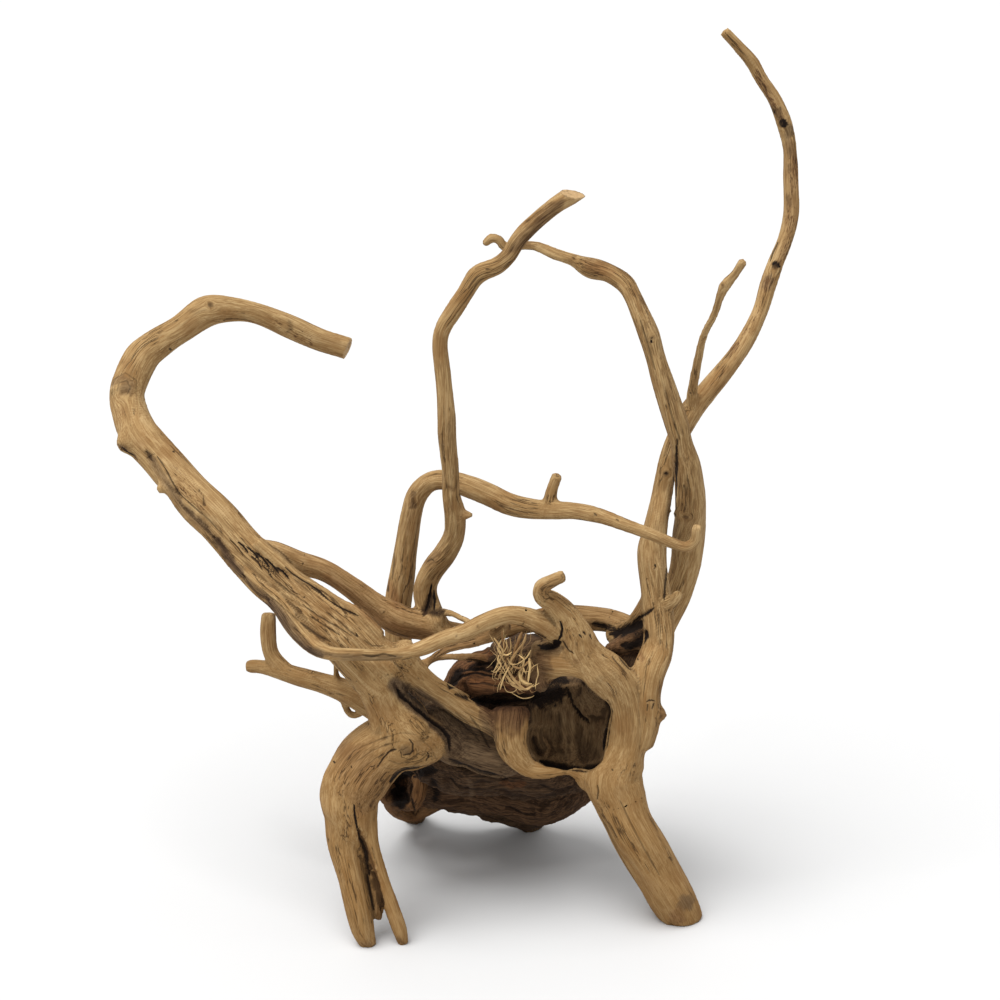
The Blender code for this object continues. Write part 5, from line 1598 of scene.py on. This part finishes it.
class Finish:
    """A material in the making."""

    def __init__(self, name, roughness=0.8, specular=0.3):
        self.material = bpy.data.materials.new(name)
        self.material.use_nodes = True
        self.tree = self.material.node_tree
        self.shader = self.tree.nodes["Principled BSDF"]
        self.shader.inputs["Roughness"].default_value = roughness
        self.shader.inputs["Specular IOR Level"].default_value = specular

    def node(self, kind, settings, sockets, out=0):
        """A node's output, as a value, with its settings made and its sockets fed."""
        node = self.tree.nodes.new(kind)
        for setting, value in settings.items():
            setattr(node, setting, value)
        for socket, value in sockets.items():
            self.feed(node.inputs[socket], value)
        return Value(self, node.outputs[out])

    def feed(self, socket, value):
        """Links a value to a socket, or sets a plain number or colour on it."""
        if isinstance(value, Value):
            self.tree.links.new(value.socket, socket)
        else:
            socket.default_value = value

    def coat(self, name, out="Fac"):
        """What is painted on the mesh under a name."""
        return self.node("ShaderNodeAttribute", {"attribute_name": name}, {}, out)

    def parts(self, vector):
        """The three numbers of a vector."""
        split = self.node("ShaderNodeSeparateXYZ", {}, {0: vector}).socket.node
        return [Value(self, output) for output in split.outputs]

    def noise(self, vector, stretch, detail, roughness=0.5, distortion=0.0):
        """Noise that changes so many times in a millimetre along each part of a vector."""
        vector = self.node("ShaderNodeVectorMath", {"operation": "MULTIPLY"}, {0: vector, 1: stretch})
        return self.node("ShaderNodeTexNoise", {}, {
            "Vector": vector, "Scale": 1.0, "Detail": detail,
            "Roughness": roughness, "Distortion": distortion,
        })

    def mix(self, share, first, second):
        """A share of the second colour over the first. A plain colour is as a screen shows it."""
        first, second = (tint(c) if isinstance(c, tuple) else c for c in (first, second))
        sockets = {0: share, 6: first, 7: second}
        return self.node("ShaderNodeMix", {"data_type": "RGBA"}, sockets, out=2)

    def bump(self, height, depth):
        """The normal of a surface with a relief, whose height is given in shares of its depth."""
        sockets = {"Height": height, "Distance": depth, "Strength": 1.0}
        self.feed(self.shader.inputs["Normal"], self.node("ShaderNodeBump", {}, sockets))


def grain_noise(finish, stretch, detail, roughness=0.5, distortion=0.0):
    """Noise drawn out along the grain: that of each set of grain coordinates, by its share."""
    total = 0.0
    for number, share in enumerate(finish.parts(finish.coat("grain_share", "Vector"))):
        grain = finish.coat(f"grain_{number}", "Vector")
        total = total + share * finish.noise(grain, stretch, detail, roughness, distortion)
    return total


def fine_cracks(finish, wander):
    """How dark the fine cracks are, which wander off their lines."""
    cracks = 0.0
    for number in range(CRACK_SETS):
        gap, width, dark = finish.parts(finish.coat(f"crack_{number}", "Vector"))
        outside = (gap + wander).size() - width
        cracks = ((1 - outside.clear_of(*CRACK_FADES)) * dark).largest(cracks)
    return cracks


def bare_wood():
    """Weathered root wood: pale ridges over brown furrows, and the dark heartwood."""
    finish = Finish("bare_wood", roughness=0.85, specular=0.12)
    fine = grain_noise(finish, *FINE_GRAIN)
    lines = grain_noise(finish, *GRAIN_LINES)
    broad = grain_noise(finish, *BROAD_GRAIN)
    pores = grain_noise(finish, *PORES)
    place = finish.coat("place", "Vector")
    blotch = finish.noise(place, *BLOTCHES)
    height = finish.parts(place)[2]
    age, rust, grey = finish.parts(finish.coat("tone", "Vector"))
    dark, speck, sawn = finish.parts(finish.coat("wear_and_shade", "Vector"))
    crevice, edge, streak, split = (finish.coat(name) for name in ("crevice", "edge", "streak", "split"))

    # How far each thing shows, from 0 to 1
    ridge = (fine * 1.7 + lines * 0.5 + streak * 0.12 - 0.6).clear_of(0.15, 0.85)
    furrow = 1 - (lines - 0.5).size().clear_of(0.004, 0.04)
    gape = furrow * (broad + fine * 0.3 + split * 0.06).clear_of(0.71, 0.79)
    pit = pores.clear_of(0.72, 0.78) * (1 - age) * (split * 0.2 + 0.15)
    rotten = (age + (blotch - 0.5) * age * 0.8).clear_of(0.1, 0.75)
    bark = (speck + (pores - 0.5) * 1.6 + (broad - 0.5) * 1.2 + (blotch - 0.5)).clear_of(0.55, 0.75)
    ragged = (fine - 0.5) + (pores - 0.5) * 0.8
    black = (dark + ragged).clear_of(0.4, 0.85) * dark.clear_of(0.1, 0.4)
    cracks = fine_cracks(finish, (fine - 0.5) * CRACK_WANDER)

    # The colours, each laid over all before it
    colour = finish.mix(ridge, *PALE_WOOD)
    for share, layer in (
        (broad.clear_of(0.42, 0.64) * 0.5, BROWN_BAND),
        # Raised grain painted paler: partly bleaching, partly a painted highlight
        (ridge * streak.clear_of(-0.2, 0.9) * 0.3, RIDGE_BLEACH_AND_HIGHLIGHT),
        # Darker and browner towards the bottom
        ((1 - height.clear_of(30, 190)) * 0.4, DARKER_TOWARDS_BOTTOM),
        # Edges painted pale: partly wear, partly a painted highlight
        (edge * (1 - age) * 0.45, EDGE_WEAR_AND_HIGHLIGHT),
        (blotch.clear_of(0.5, 0.7) * 0.45, BROWN_BLOTCH),
        (furrow * (split * 0.45 + 0.08), OPEN_FURROW),
        ((1 - ridge) * split * 0.5, OPEN_WOOD),
        (rotten, finish.mix(ridge, *ROTTEN_WOOD)),
        (grey * 0.85, finish.mix(ridge, *GREY_WOOD)),
        (rust * 0.9, finish.mix(ridge, *RUSTY_WOOD)),
        (pit.largest(gape * 0.7), DARK_PIT),
        # Painted shade in the crevices
        (crevice.clear_of(0.1, 0.9) * 0.7, CREVICE_SHADE),
        (bark * speck.clear_of(0.02, 0.2), finish.mix(fine.clear_of(0.4, 0.6), *BARK)),
        (sawn * 0.7, finish.mix(fine, *SAWN_WOOD)),
        # From the dark coat: real dark stains and knot eyes, and painted shade in hollows, slits and gaps
        (dark * 0.5, DARK_STAIN_AND_SHADE),
        (black.largest(cracks), BLACK),
    ):
        colour = finish.mix(share, colour, layer)
    finish.feed(finish.shader.inputs["Base Color"], colour)
    relief = fine * 0.5 + lines * 0.4 - furrow * (split * 0.3 + 0.1) - gape * 0.8 - pit * 0.4 - cracks
    finish.bump(relief * (age + 1), FINISH_RELIEF)
    return finish.material


def add_branch():
    """The whole branch, as one piece of wood for each solid of the part."""
    skin = shaped_skin()
    gather_coats(skin)
    finish = bare_wood()
    names, owners = nearest_nodes(skin)
    for number, name in enumerate(names):
        add_wood(skin, name, skin.faces[owners == number], finish)
    bpy.data.objects.remove(bpy.data.objects["wood"])


def straw():
    """The pale loose fibres."""
    finish = Finish("wood_fibre", roughness=0.7)
    shade = finish.noise(finish.coat("place", "Vector"), *FIBRE_SHADES)
    shade = shade * 0.4 + finish.coat("shade") * 0.8
    colour = finish.mix(shade.clear_of(0.1, 0.9), *STRAW)
    finish.feed(finish.shader.inputs["Base Color"], colour)
    return finish.material


def add_fibre(bm, line, radius):
    """One flat, uneven fibre along rows of places, tapering to its ends."""
    line = [Vector(place) for place in line]
    last = len(line) - 1
    wide = (line[-1] - line[0]).orthogonal()
    rings = []
    for number, place in enumerate(line):
        way = (line[min(number + 1, last)] - line[max(number - 1, 0)]).normalized()
        wide = (wide - way * wide.dot(way)).normalized()
        deep = way.cross(wide) * FIBRE_FLATNESS
        taper = min(1, FIBRE_START + FIBRE_WIDENS * number, FIBRE_TIP + FIBRE_WIDENS * (last - number))
        grown = radius * taper * (1 + FIBRE_UNEVEN * noise.noise(place / FIBRE_UNEVEN_SIZE))
        ring = []
        for angle in np.arange(FIBRE_SIDES) / FIBRE_SIDES * math.tau:
            ring.append(bm.verts.new(place + (wide * math.cos(angle) + deep * math.sin(angle)) * grown))
        rings.append(ring)
    join_rings(bm, rings)


def thin_fibre(random):
    """The stations and half the thickness of a thin fibre near one of the measured ones."""
    radius, back, points = FIBRE_LINES[random.integers(len(FIBRE_LINES))]
    aside = random.normal(0, THIN_SPREAD, 3) * THIN_SHARES
    stations = []
    for across, up in points:
        bend = random.normal(0, THIN_BEND, 3)
        stations.append((across + aside[0] + bend[0], up + aside[1] + bend[1],
                         back + THIN_BACK + aside[2] + bend[2], radius))
    return stations, radius * MM * random.uniform(*THIN_WIDTH)


def add_fibres():
    """The shag of pale torn fibres that hangs below the crossing root."""
    random = np.random.default_rng(SEED)
    fibres = []
    for radius, back, points in FIBRE_LINES:
        fibres.append(([(*point, back, radius) for point in points], radius * MM))
    for _ in range(THIN_FIBRES):
        fibres.append(thin_fibre(random))
    bm = bmesh.new()
    sizes = []
    for stations, radius in fibres:
        line = middle_line(stations, FIBRE_STEP)[:, :3].tolist()
        add_fibre(bm, line, radius)
        sizes.append(len(line) * FIBRE_SIDES)
    shag = mesh_object("fibre_shag", bm)
    add_coat(shag.data, "place", rows_of(shag.data.vertices, "co") / MM)
    add_coat(shag.data, "shade", np.repeat(random.random(len(sizes)), sizes))
    shag.data.polygons.foreach_set("use_smooth", np.ones(len(shag.data.polygons), bool))
    shag.data.materials.append(straw())
    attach(shag, "root")
    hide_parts("fibre_clump")


def add_floor():
    """A wide pale floor under the wood."""
    bm = bmesh.new()
    bmesh.ops.create_grid(bm, x_segments=FLOOR_CELLS, y_segments=FLOOR_CELLS, size=FLOOR_HALF)
    floor = mesh_object("floor", bm)
    finish = Finish("pale_floor", roughness=0.9, specular=0.1)
    finish.shader.inputs["Base Color"].default_value = (FLOOR_TONE, FLOOR_TONE, FLOOR_TONE, 1)
    floor.data.materials.append(finish.material)


def add_light():
    """Soft light from all round, and a broad soft light from above and in front."""
    world = bpy.data.worlds.new("studio")
    world.use_nodes = True
    world.node_tree.nodes["Background"].inputs["Color"].default_value = (1, 1, 1, 1)
    world.node_tree.nodes["Background"].inputs["Strength"].default_value = ROOM_LIGHT
    bpy.context.scene.world = world
    bpy.context.scene.view_settings.view_transform = "Standard"
    for name, way, strength, spread in LAMPS:
        lamp = bpy.data.lights.new(name, "SUN")
        lamp.energy = strength
        lamp.angle = math.radians(spread)
        holder = bpy.data.objects.new(name, lamp)
        holder.rotation_mode = "QUATERNION"
        holder.rotation_quaternion = Vector(way).to_track_quat("-Z", "Y")
        bpy.context.scene.collection.objects.link(holder)


def add_camera():
    """The camera, at the viewpoint that the strands are measured from."""
    camera = bpy.data.cameras.new("camera")
    camera.sensor_width = SENSOR
    camera.lens = SENSOR * SIGHT_DISTANCE / PICTURE_WIDTH
    camera.clip_start, camera.clip_end = CAMERA_CLIP
    holder = bpy.data.objects.new("camera", camera)
    holder.location = VIEWPOINT
    holder.rotation_mode = "QUATERNION"
    holder.rotation_quaternion = SIGHT.to_track_quat("-Z", "Y")
    bpy.context.scene.collection.objects.link(holder)
    bpy.context.scene.camera = holder


def main():
    add_branch()
    add_fibres()
    add_floor()
    add_light()
    add_camera()


main()
